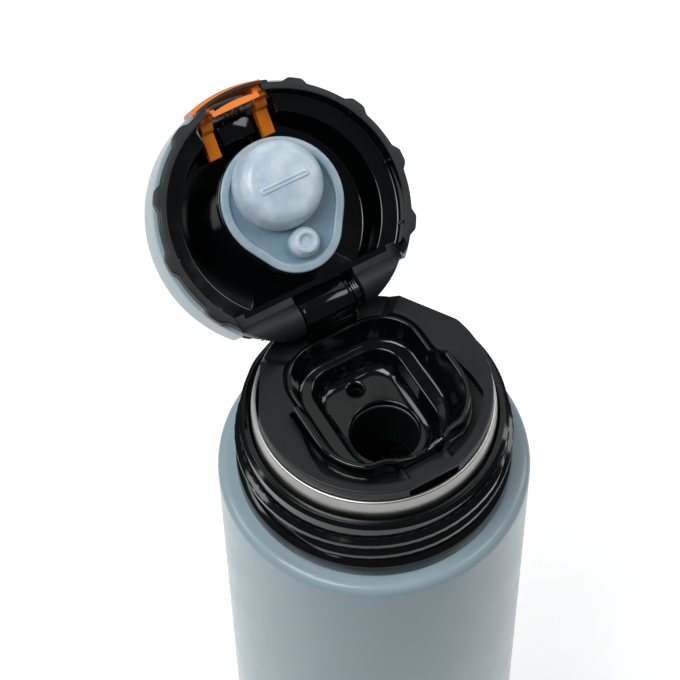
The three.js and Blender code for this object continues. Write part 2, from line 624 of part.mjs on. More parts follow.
// The egg outline of the seal: a wide round in front and a narrower one behind.
function eggOutline(inset, steps = 10) {
  const [frontR, backR] = [SEAL_HALF - inset, SEAL_BACK_R - inset];
  const tilt = Math.asin((frontR - backR) / (SEAL_BACK_Y - SEAL_FRONT_Y));
  const points = [];
  for (let i = 0; i <= steps; i++) {
    const a = Math.PI - tilt + (Math.PI + 2 * tilt) * i / steps;
    points.push([frontR * Math.cos(a), SEAL_FRONT_Y + frontR * Math.sin(a)]);
  }
  for (let i = 0; i <= steps; i++) {
    const a = tilt + (Math.PI - 2 * tilt) * i / steps;
    points.push([backR * Math.cos(a), SEAL_BACK_Y + backR * Math.sin(a)]);
  }
  return points;
}

function sealHolder() {
  const plate = raised(eggOutline(-0.2), depth(1.5), depth(4));
  const stem = raised(eggOutline(3.4), depth(3.8), depth(CEILING - GAP));
  return join(plate, stem);
}

function lidSeal() {
  const flange = cut(raised(eggOutline(0), depth(-0.4), depth(1.2)),
    raised(eggOutline(1.8), depth(-1), depth(0.4)));
  const domeLow = BOWL_FLOOR + GAP;
  const dome = turned([
    [0, domeLow], [5.5, domeLow + 0.2], [8, domeLow + 0.9], [9.5, domeLow + 2.1],
    [10.2, domeLow + 3.6], [DOME_R, domeLow + 4.8], [DOME_R, depth(0.6)], [0, depth(0.6)],
  ]).translate([0, DOME_Y, 0]);
  const nub = turned([
    [0, domeLow + 0.6], [1.5, domeLow + 0.6], [1.9, domeLow + 0.2], [2.7, domeLow + 0.2],
    [3.1, domeLow + 0.6], [3.3, domeLow + 2], [NUB_R, depth(0.6)], [0, depth(0.6)],
  ], 20).translate([0, NUB_Y, 0]);
  return join(flange, dome, nub);
}

function releaseButton() {
  const faceLow = depth(3.2);
  const faceHigh = depth(14.4);
  const face = turned([
    [SHELL_R - 0.9, faceLow], [SHELL_R + 0.4, faceLow], [SHELL_R + 0.9, faceLow + 1.2],
    [SHELL_R + 0.9, faceHigh - 2], [SHELL_R + 0.1, faceHigh], [SHELL_R - 0.9, faceHigh],
  ], 96).intersect(box(-BUTTON_HALF, BUTTON_HALF, -40, -20, RIM_Z, RIM_Z + 30));
  const legSide = [[-28.4, depth(2.7)], [-27, depth(2.7)], [-27, depth(4)], [-23.5, depth(8.4)],
    [-17.5, depth(10.6)], [-17.8, depth(12.8)], [-24.6, depth(11)], [-28.4, depth(6)]];
  const webSide = [[-29.8, depth(4)], [-26, depth(4)], [-24.4, depth(10)], [-29.8, depth(12.5)]];
  const legs = [-LEG_X, LEG_X].map((x) => join(
    profileX(legSide, x - LEG_HALF, x + LEG_HALF),
    profileX(webSide, x - LEG_HALF, x + LEG_HALF),
    rod(2.1, x - LEG_HALF, x + LEG_HALF, BUTTON_PIN_Y, BUTTON_PIN_Z)));
  const hook = profileX([[-25.9, depth(0.8)], [-27.6, depth(0.8)], [-27.6, depth(2.2)],
    [-26.2, depth(2.2)]], -HOOK_HALF, HOOK_HALF).intersect(disc(27.5, RIM_Z, depth(3)));
  const hookArms = [[-6.1, -5], [5, 6.1]].map(([low, high]) =>
    box(low, high, -27.6, -26.95, depth(1.4), depth(4)));
  const pinBore = rod(1.1, -12, 12, BUTTON_PIN_Y, BUTTON_PIN_Z, 12);
  return cut(join(face, ...legs, ...hookArms, hook), pinBore);
}

function buttonSpring() {
  return coilX({ r: 1.55, wire: 0.25, turns: 3.5, xLow: -2.6, xHigh: 2.6,
    y: BUTTON_PIN_Y, z: BUTTON_PIN_Z });
}

// ---------------------------------------------------------------- the assembly

const bottle = new THREE.Group();
bottle.add(
  mesh('outer_shell', outerShell(), PAINT),
  mesh('neck_ring', neckRing(), STEEL),
  mesh('inner_liner', innerLiner(), STEEL),
  mesh('base_plate', basePlate(), STEEL),
  mesh('vacuum_plate', vacuumPlate(), STEEL),
  mesh('vacuum_seal', disc(VACUUM_HOLE_R - GAP, 1.5, 2.7, 0, 0, 12), GLASS_BEAD),
  mesh('getter', disc(5, LINER_FOOT - 1.4, LINER_FOOT - 0.4, 14, 0, 16), STEEL),
  mesh('heat_shield', tube(LINER_R + 0.5 + FOIL, LINER_R + 0.5, 16, MOUTH_Z - 42), FOIL_METAL),
  mesh('neck_collar', neckCollar(), BLACK_GLOSS),
);

const cap = new THREE.Group();
cap.add(
  mesh('mouth_gasket', mouthGasket(), RUBBER_GREY),
  mesh('cap_plate', capPlate(), BLACK_MATT),
  mesh('drinking_bowl', drinkingBowl(), BLACK_GLOSS),
  mesh('cap_plug', capPlug(), BLACK_MATT),
  mesh('cap_insulation', capInsulation(), FOAM),
  mesh('channel_seal', channelSeal(), RUBBER_GREY),
  mesh('hinge_pin', rod(PIN_R, -16.8, 16.8, HINGE_Y, HINGE_Z), STEEL),
  mesh('hinge_spring', hingeSpring(), STEEL),
);

// The lid's pieces hang in a group at the hinge pin, turned from closed to thrown open.
const lidPieces = new THREE.Group();
lidPieces.position.set(0, -HINGE_Y, -HINGE_Z);
lidPieces.add(
  mesh('lid_liner', lidLiner(), BLACK_GLOSS),
  mesh('lid_shell', lidShell(), PAINT),
  mesh('seal_holder', sealHolder(), BLACK_GLOSS),
  mesh('lid_seal', lidSeal(), SILICONE),
  mesh('release_button', releaseButton(), ORANGE),
  mesh('button_pin', rod(0.8, -11.5, 11.5, BUTTON_PIN_Y, BUTTON_PIN_Z, 12), STEEL),
  mesh('button_spring', buttonSpring(), STEEL),
);
const lid = new THREE.Group();
lid.position.set(0, HINGE_Y, HINGE_Z);
lid.rotation.x = -rad(OPEN_ANGLE);
lid.add(lidPieces);

const group = new THREE.Group();
group.add(bottle, cap, lid);

export default group;
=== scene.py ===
"""The looks of a vacuum water bottle with a drinking cap and a lid thrown open.

Every piece is drawn in millimetres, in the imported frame: +Z up, the foot's centre at the origin, the
lid's hinge at +Y and the release button at -Y. Pieces of the lid are drawn closed, with their depth
measured up from the rim, and are then turned open about the hinge pin.
"""

import json
import math

import bmesh
import bpy
from mathutils import Matrix, Vector


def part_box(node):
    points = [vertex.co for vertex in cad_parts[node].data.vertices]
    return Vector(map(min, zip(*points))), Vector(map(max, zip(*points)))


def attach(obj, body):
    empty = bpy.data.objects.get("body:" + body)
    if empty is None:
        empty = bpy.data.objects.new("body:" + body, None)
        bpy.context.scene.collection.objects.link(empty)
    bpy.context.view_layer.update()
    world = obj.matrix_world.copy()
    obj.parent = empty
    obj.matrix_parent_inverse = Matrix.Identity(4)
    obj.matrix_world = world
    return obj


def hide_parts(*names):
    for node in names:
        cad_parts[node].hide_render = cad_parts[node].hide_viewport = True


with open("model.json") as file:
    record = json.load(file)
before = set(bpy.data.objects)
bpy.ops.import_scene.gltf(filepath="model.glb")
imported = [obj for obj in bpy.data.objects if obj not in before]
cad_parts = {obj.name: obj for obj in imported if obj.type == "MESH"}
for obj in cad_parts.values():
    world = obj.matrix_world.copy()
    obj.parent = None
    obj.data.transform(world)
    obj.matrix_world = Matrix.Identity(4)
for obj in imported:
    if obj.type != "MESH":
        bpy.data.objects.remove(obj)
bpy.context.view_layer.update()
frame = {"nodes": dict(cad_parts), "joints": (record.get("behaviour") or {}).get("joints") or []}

MM = 0.001


def lowest(node):
    """Lowest corner of a frame node, in millimetres."""
    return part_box(node)[0] / MM


def highest(node):
    """Highest corner of a frame node, in millimetres."""
    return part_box(node)[1] / MM


# ---------------------------------------------------------------- places taken from the frame

joints = {joint["name"]: joint for joint in frame["joints"]}
HINGE = Vector(joints["lid_hinge"]["pos_m"]) / MM
OPEN_ANGLE = 148.56                       # degrees from closed to thrown open

MOUTH = highest("neck_collar").z + 0.6    # where the mouth's steel leaves the collar
BODY_R = highest("outer_shell").x
SHOULDER = highest("outer_shell").z
COLLAR_LOW = lowest("neck_collar").z
PLATE_LOW = lowest("cap_plate").z         # underside of the cap plate
PLATE_TOP = PLATE_LOW + 3.3
PLATE_R = 27.15
LIP_TOP = highest("drinking_bowl").z
LIP_HALF = 19.2                           # the lip's straight sides are at this x
LIP_FRONT = -20.8
LIP_CORNER_R = 14.0
LIP_Y = -1.6                              # middle of the bowl
MOAT_R = 24.8                             # the moat round the lip
MOAT_HALF = 21.2
BOWL_UNDER = lowest("drinking_bowl").z
BOWL_FLOOR = BOWL_UNDER + 1.5
POUR_R = 8.1                              # holes in the floor of the bowl
POUR_Y = -4.8
VENT_R = 1.6
VENT_Y = 8.6
RIM = MOUTH + 4.7                         # the closed lid's rim
RIM_R = 29.4
RIM_BORE_R = 27.75
INNER_R = 23.3                            # the lid's inner wall
LEDGE = 5.0                               # depths in the lid, from its rim
CEILING = 17.0
COVER_R = 30.3
HINGE_HALF = 21.0                         # half the length of the hinge
CHORD_Y = 18.2                            # the lid's flat back wall
DOME_R = 10.35                            # the seal's pour plug and vent plug
DOME_Y = -6.0
NUB_Y = 8.3
BUTTON_HALF = 9.0
PIN_Y = -25.6                             # the button's pin
PIN_DEPTH = 8.0

PAINT_DEEP = (0.31, 0.42, 0.465)
PAINT_PALE = (0.335, 0.45, 0.495)

# ---------------------------------------------------------------- outlines


def corner_arc(corner, before, after, radius, limit, steps):
    """Points of the arc that rounds a corner; before and after lead to its neighbours, and limit
    is as far as the arc may reach along them."""
    half = before.angle(after) / 2
    reach = min(radius / math.tan(half), limit)
    radius = reach * math.tan(half)
    middle = corner + (before.normalized() + after.normalized()).normalized() * radius / math.sin(half)
    start = corner + before.normalized() * reach - middle
    end = corner + after.normalized() * reach - middle
    sweep = math.atan2(start.x * end.y - start.y * end.x, start.dot(end))
    first = math.atan2(start.y, start.x)
    angles = [first + sweep * k / steps for k in range(steps + 1)]
    return [(middle.x + radius * math.cos(angle), middle.y + radius * math.sin(angle)) for angle in angles]


def neighbours(corners, i):
    """A corner's place, and the ways from it to the corners before and after it."""
    corner = Vector(corners[i][:2])
    return corner, Vector(corners[i - 1][:2]) - corner, Vector(corners[(i + 1) % len(corners)][:2]) - corner


def filleted(corners, steps=5):
    """A closed outline from corners given as (x, y, radius), each rounded by an arc."""
    outline = []
    for i, (x, y, radius) in enumerate(corners):
        corner, before, after = neighbours(corners, i)
        if radius <= 0 or before.angle(after) / 2 > math.radians(89):
            outline.append((x, y))
            continue
        limit = min(0.49 * before.length, 0.49 * after.length)
        outline += corner_arc(corner, before, after, radius, limit, steps)
    return outline


def arcs_of(corners, steps):
    """An open profile from corners given as (x, y, radius). Every corner that has a radius gives the
    same number of points, so profiles of the same corners can be skinned together."""
    profile = []
    for i, (x, y, radius) in enumerate(corners):
        if radius <= 0:
            profile.append((x, y))
            continue
        corner, before, after = neighbours(corners, i)
        limit = 0.47 * min(before.length, after.length)
        if before.angle(after) / 2 > math.radians(87):
            start = corner + before.normalized() * limit * 0.2
            end = corner + after.normalized() * limit * 0.2
            profile += [tuple(start.lerp(end, k / steps)) for k in range(steps + 1)]
            continue
        profile += corner_arc(corner, before, after, radius, limit, steps)
    return profile


def smooth(value):
    """0 below 0, 1 above 1, and a soft S between."""
    value = min(1.0, max(0.0, value))
    return value * value * (3 - 2 * value)


def rounded_box_outline(half, front, back, front_r, back_r, steps=10):
    """A level outline with straight sides, one corner radius in front and one behind."""
    return filleted([(half, front, front_r), (half, back, back_r), (-half, back, back_r),
                     (-half, front, front_r)], steps)


def reach_of(outline, centre, angle):
    """How far an outline lies from a centre, in the direction of an angle."""
    dx, dy = math.cos(angle), math.sin(angle)
    best = 0.0
    for i, (x1, y1) in enumerate(outline):
        x0, y0 = outline[i - 1]
        ex, ey = x1 - x0, y1 - y0
        across = dx * ey - dy * ex
        if abs(across) < 1e-9:
            continue
        px, py = x0 - centre[0], y0 - centre[1]
        share = (px * dy - py * dx) / across
        distance = (px * ey - py * ex) / across
        if -1e-6 <= share <= 1 + 1e-6 and distance > best:
            best = distance
    return best


# ---------------------------------------------------------------- mesh making


def made(name, points, faces):
    """A mesh object from points in millimetres, with its faces turned outwards."""
    mesh = bpy.data.meshes.new(name)
    mesh.from_pydata([Vector(point) * MM for point in points], [], faces)
    work = bmesh.new()
    work.from_mesh(mesh)
    bmesh.ops.remove_doubles(work, verts=work.verts, dist=1e-7)
    bmesh.ops.recalc_face_normals(work, faces=work.faces)
    work.to_mesh(mesh)
    work.free()
    piece = bpy.data.objects.new(name, mesh)
    bpy.context.scene.collection.objects.link(piece)
    return piece


def band(lower, upper):
    """Faces between two rings of point numbers; a ring of one point is a pole."""
    count = max(len(lower), len(upper))
    if count == 1:
        return []
    if len(lower) == 1:
        return [(lower[0], upper[(i + 1) % count], upper[i]) for i in range(count)]
    if len(upper) == 1:
        return [(lower[i], lower[(i + 1) % count], upper[0]) for i in range(count)]
    return [(lower[i], lower[(i + 1) % count], upper[(i + 1) % count], upper[i]) for i in range(count)]


def skinned(name, rings, closed=False):
    """A body skinned over rings of points; its two ends are capped unless it closes on itself."""
    points, numbers = [], []
    for ring in rings:
        numbers.append(list(range(len(points), len(points) + len(ring))))
        points.extend(ring)
    faces = []
    for lower, upper in zip(numbers, numbers[1:]):
        faces += band(lower, upper)
    if closed:
        faces += band(numbers[-1], numbers[0])
    else:
        faces += [tuple(reversed(end)) for end in (numbers[0], numbers[-1]) if len(end) > 2]
    return made(name, points, faces)


def lathed(name, profile, steps=160, centre=(0, 0), shape=None):
    """A body turned from a profile of (radius, height); shape may change a radius with the angle."""
    on_axis = [i for i, (r, _) in enumerate(profile) if r < 1e-6]
    if len(on_axis) == 2 and on_axis[1] - on_axis[0] == 1:
        profile = profile[on_axis[1]:] + profile[:on_axis[1]]
    rings = []
    for r, z in profile:
        turns = range(steps) if r > 1e-6 else range(1)
        ring = []
        for k in turns:
            angle = 2 * math.pi * k / steps
            radius = shape(r, z, angle) if shape else r
            ring.append((centre[0] + radius * math.cos(angle), centre[1] + radius * math.sin(angle), z))
        rings.append(ring)
    return skinned(name, rings, closed=not on_axis)


def raised(name, outline, low, high, edge=0.0, steps=3):
    """A flat outline raised from one height to another, with rounded edges."""
    levels = [(0.0, low), (0.0, high)]
    if edge > 0:
        turn = [math.pi / 2 * k / steps for k in range(steps + 1)]
        levels = [(edge * (1 - math.sin(a)), low + edge * (1 - math.cos(a))) for a in turn]
        levels += [(edge * (1 - math.cos(a)), high - edge * (1 - math.sin(a))) for a in turn]
    return skinned(name, [[(x, y, z) for x, y in shrunk(outline, inset)] for inset, z in levels])


def shrunk(outline, inset):
    """An outline moved inwards by a distance, point by point."""
    if inset == 0:
        return outline
    area = sum(outline[i - 1][0] * p[1] - p[0] * outline[i - 1][1] for i, p in enumerate(outline))
    side = 1 if area > 0 else -1
    moved = []
    for i, (x, y) in enumerate(outline):
        x0, y0 = outline[i - 1]
        x1, y1 = outline[(i + 1) % len(outline)]
        along = Vector((x1 - x0, y1 - y0)).normalized()
        moved.append((x - side * along.y * inset, y + side * along.x * inset))
    return moved


def rod(name, r, x_low, x_high, y, z, edge=0.0, steps=64):
    """A round bar along X with rounded ends."""
    ends = [(0.0, r)] if edge <= 0 else [
        (edge * (1 - math.sin(a)), r - edge * (1 - math.cos(a)))
        for a in (math.pi / 2 * k / 4 for k in range(4, -1, -1))]
    levels = [(x_low + x, radius) for x, radius in reversed(ends)]
    levels += [(x_high - x, radius) for x, radius in ends]
    rings = []
    for x, radius in levels:
        angles = (2 * math.pi * k / steps for k in range(steps))
        rings.append([(x, y + radius * math.cos(a), z + radius * math.sin(a)) for a in angles])
    return skinned(name, rings)


def slab(name, outline, x_low, x_high):
    """A side outline of (y, z) points run along X."""
    return skinned(name, [[(x, y, z) for y, z in outline] for x in (x_low, x_high)])


def block(name, x_low, x_high, y_low, y_high, z_low, z_high):
    """A plain block between two corners, mostly a tool that cuts."""
    return slab(name, [(y_low, z_low), (y_high, z_low), (y_high, z_high), (y_low, z_high)], x_low, x_high)


def wire(name, route, radius, sides=12):
    """A round wire along a route of points, with closed ends."""
    rings = []
    side = None
    for i, point in enumerate(route):
        here = Vector(point)
        ahead = Vector(route[min(i + 1, len(route) - 1)]) - Vector(route[max(i - 1, 0)])
        ahead.normalize()
        if side is None:
            side = ahead.orthogonal().normalized()
        side = (side - ahead * side.dot(ahead)).normalized()
        other = ahead.cross(side)
        rings.append([here + (side * math.cos(a) + other * math.sin(a)) * radius
                      for a in (2 * math.pi * k / sides for k in range(sides))])
    return skinned(name, rings)


def settled(piece):
    """Applies a piece's modifiers to its mesh."""
    graph = bpy.context.evaluated_depsgraph_get()
    mesh = bpy.data.meshes.new_from_object(piece.evaluated_get(graph))
    piece.modifiers.clear()
    old, piece.data = piece.data, mesh
    bpy.data.meshes.remove(old)
    return piece


def combined(piece, operation, tools):
    """Combines a piece with tools, one after the other, and removes the tools."""
    for tool in tools:
        step = piece.modifiers.new("step", "BOOLEAN")
        step.operation = operation
        step.solver = "MANIFOLD"
        step.object = tool
        settled(piece)
        bpy.data.objects.remove(tool)
    return piece


def cut(piece, *tools):
    """Takes the tools away from a piece."""
    return combined(piece, "DIFFERENCE", tools)


def join(piece, *tools):
    """Joins the tools to a piece."""
    return combined(piece, "UNION", tools)


def kept(piece, *tools):
    """Keeps what a piece has in common with the tools."""
    return combined(piece, "INTERSECT", tools)


def softened(piece, width, steps=2, angle=32):
    """Rounds the sharp edges of a piece by a width in millimetres."""
    bevel = piece.modifiers.new("bevel", "BEVEL")
    bevel.width = width * MM
    bevel.segments = steps
    bevel.limit_method = "ANGLE"
    bevel.angle_limit = math.radians(angle)
    bevel.miter_outer = "MITER_ARC"
    bevel.use_clamp_overlap = True
    return settled(piece)


def opened(piece):
    """Turns a piece that was drawn closed to the lid's open place."""
    hinge = Matrix.Translation(HINGE * MM)
    turn = Matrix.Rotation(math.radians(-OPEN_ANGLE), 4, "X")
    piece.data.transform(hinge @ turn @ hinge.inverted())
    return piece


def finished(piece, body, slot, material, *nodes, crease=40):
    """Gives a piece its material and its place in the frame."""
    piece.data.materials.clear()
    piece.data.materials.append(material)
    piece.data.shade_smooth()
    piece.data.set_sharp_from_angle(angle=math.radians(crease))
    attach(piece, body)
    if nodes:
        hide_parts(*nodes)
    return piece


# ---------------------------------------------------------------- material making


class Signal:
    """A value that varies over a surface. Sums on it add Math nodes."""

    def __init__(self, finish, socket):
        self.finish, self.socket = finish, socket

    def of(self, output):
        """Another output of the same node."""
        return Signal(self.finish, self.socket.node.outputs[output])

    def math(self, operation, *values):
        """A Math node on values or links."""
        return self.finish.add("ShaderNodeMath", {"operation": operation}, dict(enumerate(values)))

    def __add__(self, other):
        return self.math("ADD", self, other)

    def __sub__(self, other):
        return self.math("SUBTRACT", self, other)

    def __rsub__(self, other):
        return self.math("SUBTRACT", other, self)

    def __mul__(self, other):
        return self.math("MULTIPLY", self, other)

    def __pow__(self, other):
        return self.math("POWER", self, other)

    __radd__ = __add__
    __rmul__ = __mul__


class Finish:
    """A material whose nodes are added one by one."""

    def __init__(self, name):
        self.material = bpy.data.materials.new(name)
        self.material.use_nodes = True
        self.tree = self.material.node_tree
        self.tree.nodes.clear()

    def add(self, kind, settings=None, inputs=None, output=0):
        """A node of a type: its settings are set first, then its sockets' values or links."""
        node = self.tree.nodes.new(kind)
        for name, value in (settings or {}).items():
            setattr(node, name, value)
        for key, value in (inputs or {}).items():
            if isinstance(value, Signal):
                self.tree.links.new(value.socket, node.inputs[key])
            else:
                node.inputs[key].default_value = value
        return None if output is None else Signal(self, node.outputs[output])

    def place(self):
        """A point's place in the frame, in metres."""
        return self.add("ShaderNodeTexCoord", output="Object")

    def noise(self, size, detail=2.0, roughness=0.5, at=None):
        """Cloudy noise from 0 to 1, with features of a size in millimetres."""
        return self.add("ShaderNodeTexNoise", inputs={
            "Vector": at or self.place(), "Scale": 1 / (size * MM), "Detail": detail,
            "Roughness": roughness})

    def between(self, value, low, high, to_low=0.0, to_high=1.0):
        """Maps a value from one range to another, clamped and eased."""
        return self.add("ShaderNodeMapRange", {"interpolation_type": "SMOOTHSTEP"}, {
            "Value": value, "From Min": low, "From Max": high, "To Min": to_low, "To Max": to_high})

    def mixed(self, share, first, second):
        """A colour between two colours."""
        pair = [(*c, 1.0) if isinstance(c, tuple) else c for c in (first, second)]
        return self.add("ShaderNodeMix", {"data_type": "RGBA"}, {0: share, 6: pair[0], 7: pair[1]}, output=2)

    def around(self, fine, along=14.0):
        """A place stretched round the bottle's axis, for brush marks that run round a turned part."""
        parts = self.add("ShaderNodeSeparateXYZ", inputs={0: self.place()})
        x, y, z = (parts.of(axis) for axis in "XYZ")
        turn = x.math("ARCTAN2", x, y * -1.0)
        radius = (x * x + y * y) ** 0.5
        return self.add("ShaderNodeCombineXYZ", inputs={
            "X": turn * (along * MM), "Y": radius * fine, "Z": z * fine})

    def surface(self, color, roughness, height=None, depth=0.01, **uniform):
        """The shader: colour and roughness may vary, and a height in units of depth (mm) makes relief."""
        inputs = {"Base Color": color if isinstance(color, Signal) else (*color, 1.0),
                  "Roughness": roughness}
        inputs.update({name.replace("_", " ").title().replace("Ior", "IOR"): value
                       for name, value in uniform.items()})
        if height is not None:
            inputs["Normal"] = self.add("ShaderNodeBump", inputs={"Height": height, "Distance": depth * MM})
        shader = self.add("ShaderNodeBsdfPrincipled", inputs=inputs)
        self.add("ShaderNodeOutputMaterial", inputs={"Surface": shader}, output=None)
        return self.material


def satin_paint():
    """Grey-blue powder coat under a thin clear coat, with a fine grain."""
    finish = Finish("satin_paint")
    cloud = finish.noise(9, 3)
    grain = finish.noise(0.28, 2, 0.6)
    color = finish.mixed(cloud, PAINT_DEEP, PAINT_PALE)
    color = finish.mixed(finish.between(grain, 0.62, 0.8, 0, 0.1), color, (0.5, 0.6, 0.64))
    return finish.surface(color, finish.between(cloud, 0.3, 0.7, 0.4, 0.5), grain, 0.002,
                          coat_weight=0.45, coat_roughness=0.08, specular_ior_level=0.3)


def brushed_steel():
    """Bare steel with very fine brush marks that run round the turned part."""
    finish = Finish("brushed_steel")
    marks = finish.noise(0.5, 2, 0.6, finish.around(2.2, 3))
    cloud = finish.noise(5, 3)
    color = finish.mixed(marks, (0.58, 0.58, 0.57), (0.64, 0.64, 0.63))
    return finish.surface(color, finish.between(cloud, 0.3, 0.7, 0.33, 0.4), marks, 0.0003,
                          metallic=1.0, anisotropic=0.3)


def polished_black():
    """Polished black plastic with faint wipe marks."""
    finish = Finish("polished_black")
    smear = finish.noise(7, 4, 0.6)
    speck = finish.noise(0.18, 1)
    color = finish.mixed(smear, (0.0009, 0.0012, 0.0016), (0.002, 0.0026, 0.0034))
    rough = finish.between(smear, 0.35, 0.75, 0.07, 0.15) + finish.between(speck, 0.66, 0.78, 0, 0.04)
    return finish.surface(color, rough, smear, 0.004)


def satin_black():
    """Fine-textured black plastic."""
    finish = Finish("satin_black")
    grain = finish.noise(0.16, 2, 0.6)
    cloud = finish.noise(6, 3)
    color = finish.mixed(cloud, (0.0035, 0.0047, 0.0054), (0.006, 0.0078, 0.0088))
    return finish.surface(color, finish.between(cloud, 0.3, 0.7, 0.36, 0.44), grain, 0.006)


def rim_black():
    """The lid's rim: black plastic with a matt spark-eroded texture, a little glossier in patches."""
    finish = Finish("rim_black")
    grain = finish.noise(0.22, 3, 0.7)
    cloud = finish.noise(5, 3)
    color = finish.mixed(grain, (0.004, 0.005, 0.006), (0.011, 0.0135, 0.015))
    return finish.surface(color, finish.between(cloud, 0.3, 0.7, 0.42, 0.55), grain, 0.02)


def milky_silicone():
    """Milky silicone: paler and cloudier where it is thick, bluer where a thin web lies over black, with a
    painted glow that lightens its edges where they turn away from view.
    """
    finish = Finish("milky_silicone")
    normal = opened_normal()
    away = finish.add("ShaderNodeVectorMath", {"operation": "DOT_PRODUCT"},
                      {0: finish.place(), 1: tuple(normal)}, output="Value")
    web = (opened_point(0, 0, 0.55) * MM).dot(normal)
    thick = finish.between(away, web, web + 2.2 * MM)
    cloud = finish.noise(4.5, 3, 0.55)
    dust = finish.noise(0.5, 2)
    deep = finish.mixed(cloud, (0.15, 0.25, 0.32), (0.19, 0.3, 0.38))
    pale = finish.mixed(finish.between(cloud, 0.3, 0.7), (0.42, 0.56, 0.66), (0.6, 0.7, 0.77))
    # painted rim glow: the colour is lightened towards pale blue where the surface is seen side-on, standing
    # in for light through the silicone
    edge = finish.add("ShaderNodeLayerWeight", inputs={"Blend": 0.3}, output="Facing")
    painted_rim_glow = finish.between(edge, 0.25, 0.85, 0, 0.7)
    color = finish.mixed(painted_rim_glow, finish.mixed(thick, deep, pale), (0.75, 0.86, 0.93))
    return finish.surface(color, finish.between(dust, 0.3, 0.7, 0.24, 0.36), dust, 0.01,
                          subsurface_weight=0.35, subsurface_scale=0.002, coat_weight=0.35,
                          coat_roughness=0.2, ior=1.41)


def moulded_orange():
    """Satin orange plastic of the release button."""
    finish = Finish("moulded_orange")
    cloud = finish.noise(4, 3)
    grain = finish.noise(0.2, 2)
    color = finish.mixed(cloud, (0.86, 0.2, 0.012), (0.95, 0.27, 0.02))
    return finish.surface(color, finish.between(cloud, 0.3, 0.7, 0.34, 0.44), grain, 0.01,
                          subsurface_weight=0.08, subsurface_scale=0.001)


def plain_steel():
    """Drawn and pressed steel of the hidden parts and the pins."""
    finish = Finish("plain_steel")
    marks = finish.noise(1.2, 3, 0.6)
    color = finish.mixed(marks, (0.46, 0.46, 0.45), (0.62, 0.61, 0.6))
    return finish.surface(color, finish.between(marks, 0.3, 0.7, 0.24, 0.4), marks, 0.004, metallic=1.0)


def dark_spring_steel():
    """Oil-blackened spring wire."""
    finish = Finish("dark_spring_steel")
    marks = finish.noise(0.4, 3)
    color = finish.mixed(marks, (0.05, 0.052, 0.056), (0.13, 0.13, 0.135))
    return finish.surface(color, finish.between(marks, 0.3, 0.7, 0.18, 0.32), marks, 0.004, metallic=1.0)


def copper_foil():
    """Thin foil with soft creases."""
    finish = Finish("copper_foil")
    crease = finish.noise(7, 4, 0.6)
    color = finish.mixed(crease, (0.66, 0.3, 0.17), (0.8, 0.45, 0.3))
    return finish.surface(color, finish.between(crease, 0.3, 0.7, 0.16, 0.3), crease, 0.3, metallic=1.0)


def grey_seal_rubber():
    """Grey silicone of the hidden seals."""
    finish = Finish("grey_seal_rubber")
    cloud = finish.noise(3, 3)
    color = finish.mixed(cloud, (0.34, 0.37, 0.39), (0.46, 0.49, 0.5))
    return finish.surface(color, finish.between(cloud, 0.3, 0.7, 0.5, 0.62), cloud, 0.02)


def white_foam():
    """Cellular foam."""
    finish = Finish("white_foam")
    cells = finish.add("ShaderNodeTexVoronoi", inputs={"Vector": finish.place(), "Scale": 1 / (0.7 * MM)})
    color = finish.mixed(finish.between(cells, 0.1, 0.7), (0.5, 0.47, 0.4), (0.82, 0.79, 0.72))
    return finish.surface(color, finish.between(cells, 0, 1, 0.8, 0.95), cells, 0.1)


def glassy_bead():
    """The glassy solder that seals the vacuum."""
    finish = Finish("glassy_bead")
    cloud = finish.noise(1.5, 2)
    color = finish.mixed(cloud, (0.2, 0.23, 0.24), (0.34, 0.37, 0.38))
    return finish.surface(color, finish.between(cloud, 0.3, 0.7, 0.12, 0.24), cloud, 0.02)


def opened_point(x, y, depth):
    """Where a point of the closed lid lies when the lid is open, in millimetres."""
    away = Vector((x, y, RIM + depth)) - HINGE
    return HINGE + Matrix.Rotation(math.radians(-OPEN_ANGLE), 3, "X") @ away


def opened_normal():
    """The way that the open lid's inside faces."""
    return Matrix.Rotation(math.radians(-OPEN_ANGLE), 3, "X") @ Vector((0, 0, -1))


# ---------------------------------------------------------------- bottle


def body_shell():
    """The painted body: a round shoulder, a straight wall, a fine seam over the foot and a round foot."""
    wall = 0.5
    profile = filleted([
        (28.6, SHOULDER, 0), (BODY_R, SHOULDER, 2.4), (BODY_R, 7.8, 0.2), (BODY_R - 0.3, 7.5, 0.15),
        (BODY_R - 0.3, 7.1, 0.15), (BODY_R, 6.8, 0.2), (BODY_R, 0, 4), (31.9, 0, 0.2),
        (31.9, wall, 0.2), (BODY_R - wall, wall, 3.5), (BODY_R - wall, SHOULDER - wall, 1.9),
        (28.6, SHOULDER - wall, 0)], steps=12)
    return lathed("body_shell", profile, 192)


def steel_mouth():
    """The bare steel neck, whose visible top leans in a little and ends in a rounded edge."""
    profile = filleted([
        (28.2, MOUTH - 22, 0), (28.3, MOUTH + 1.6, 9), (27.75, MOUTH + 4.75, 0.7), (26.9, MOUTH + 4.7, 0.25),
        (26.9, MOUTH + 3.6, 0.3), (27.4, MOUTH + 2.6, 0.8), (27.4, MOUTH - 22, 0)], steps=12)
    return lathed("steel_mouth", profile, 192)


def foot_cover():
    """The flat steel foot with its pressed ring and a rounded edge."""
    under = [(0, 0, 0), (21.7, 0, 0.5), (22.3, 0.35, 0.4), (24.7, 0.35, 0.4), (25.3, 0, 0.5),
             (31.5, 0, 0.3)]
    upper = [(r, z + 0.6, radius) for r, z, radius in reversed(under)]
    return lathed("foot_cover", filleted(under + upper, 5), 144)


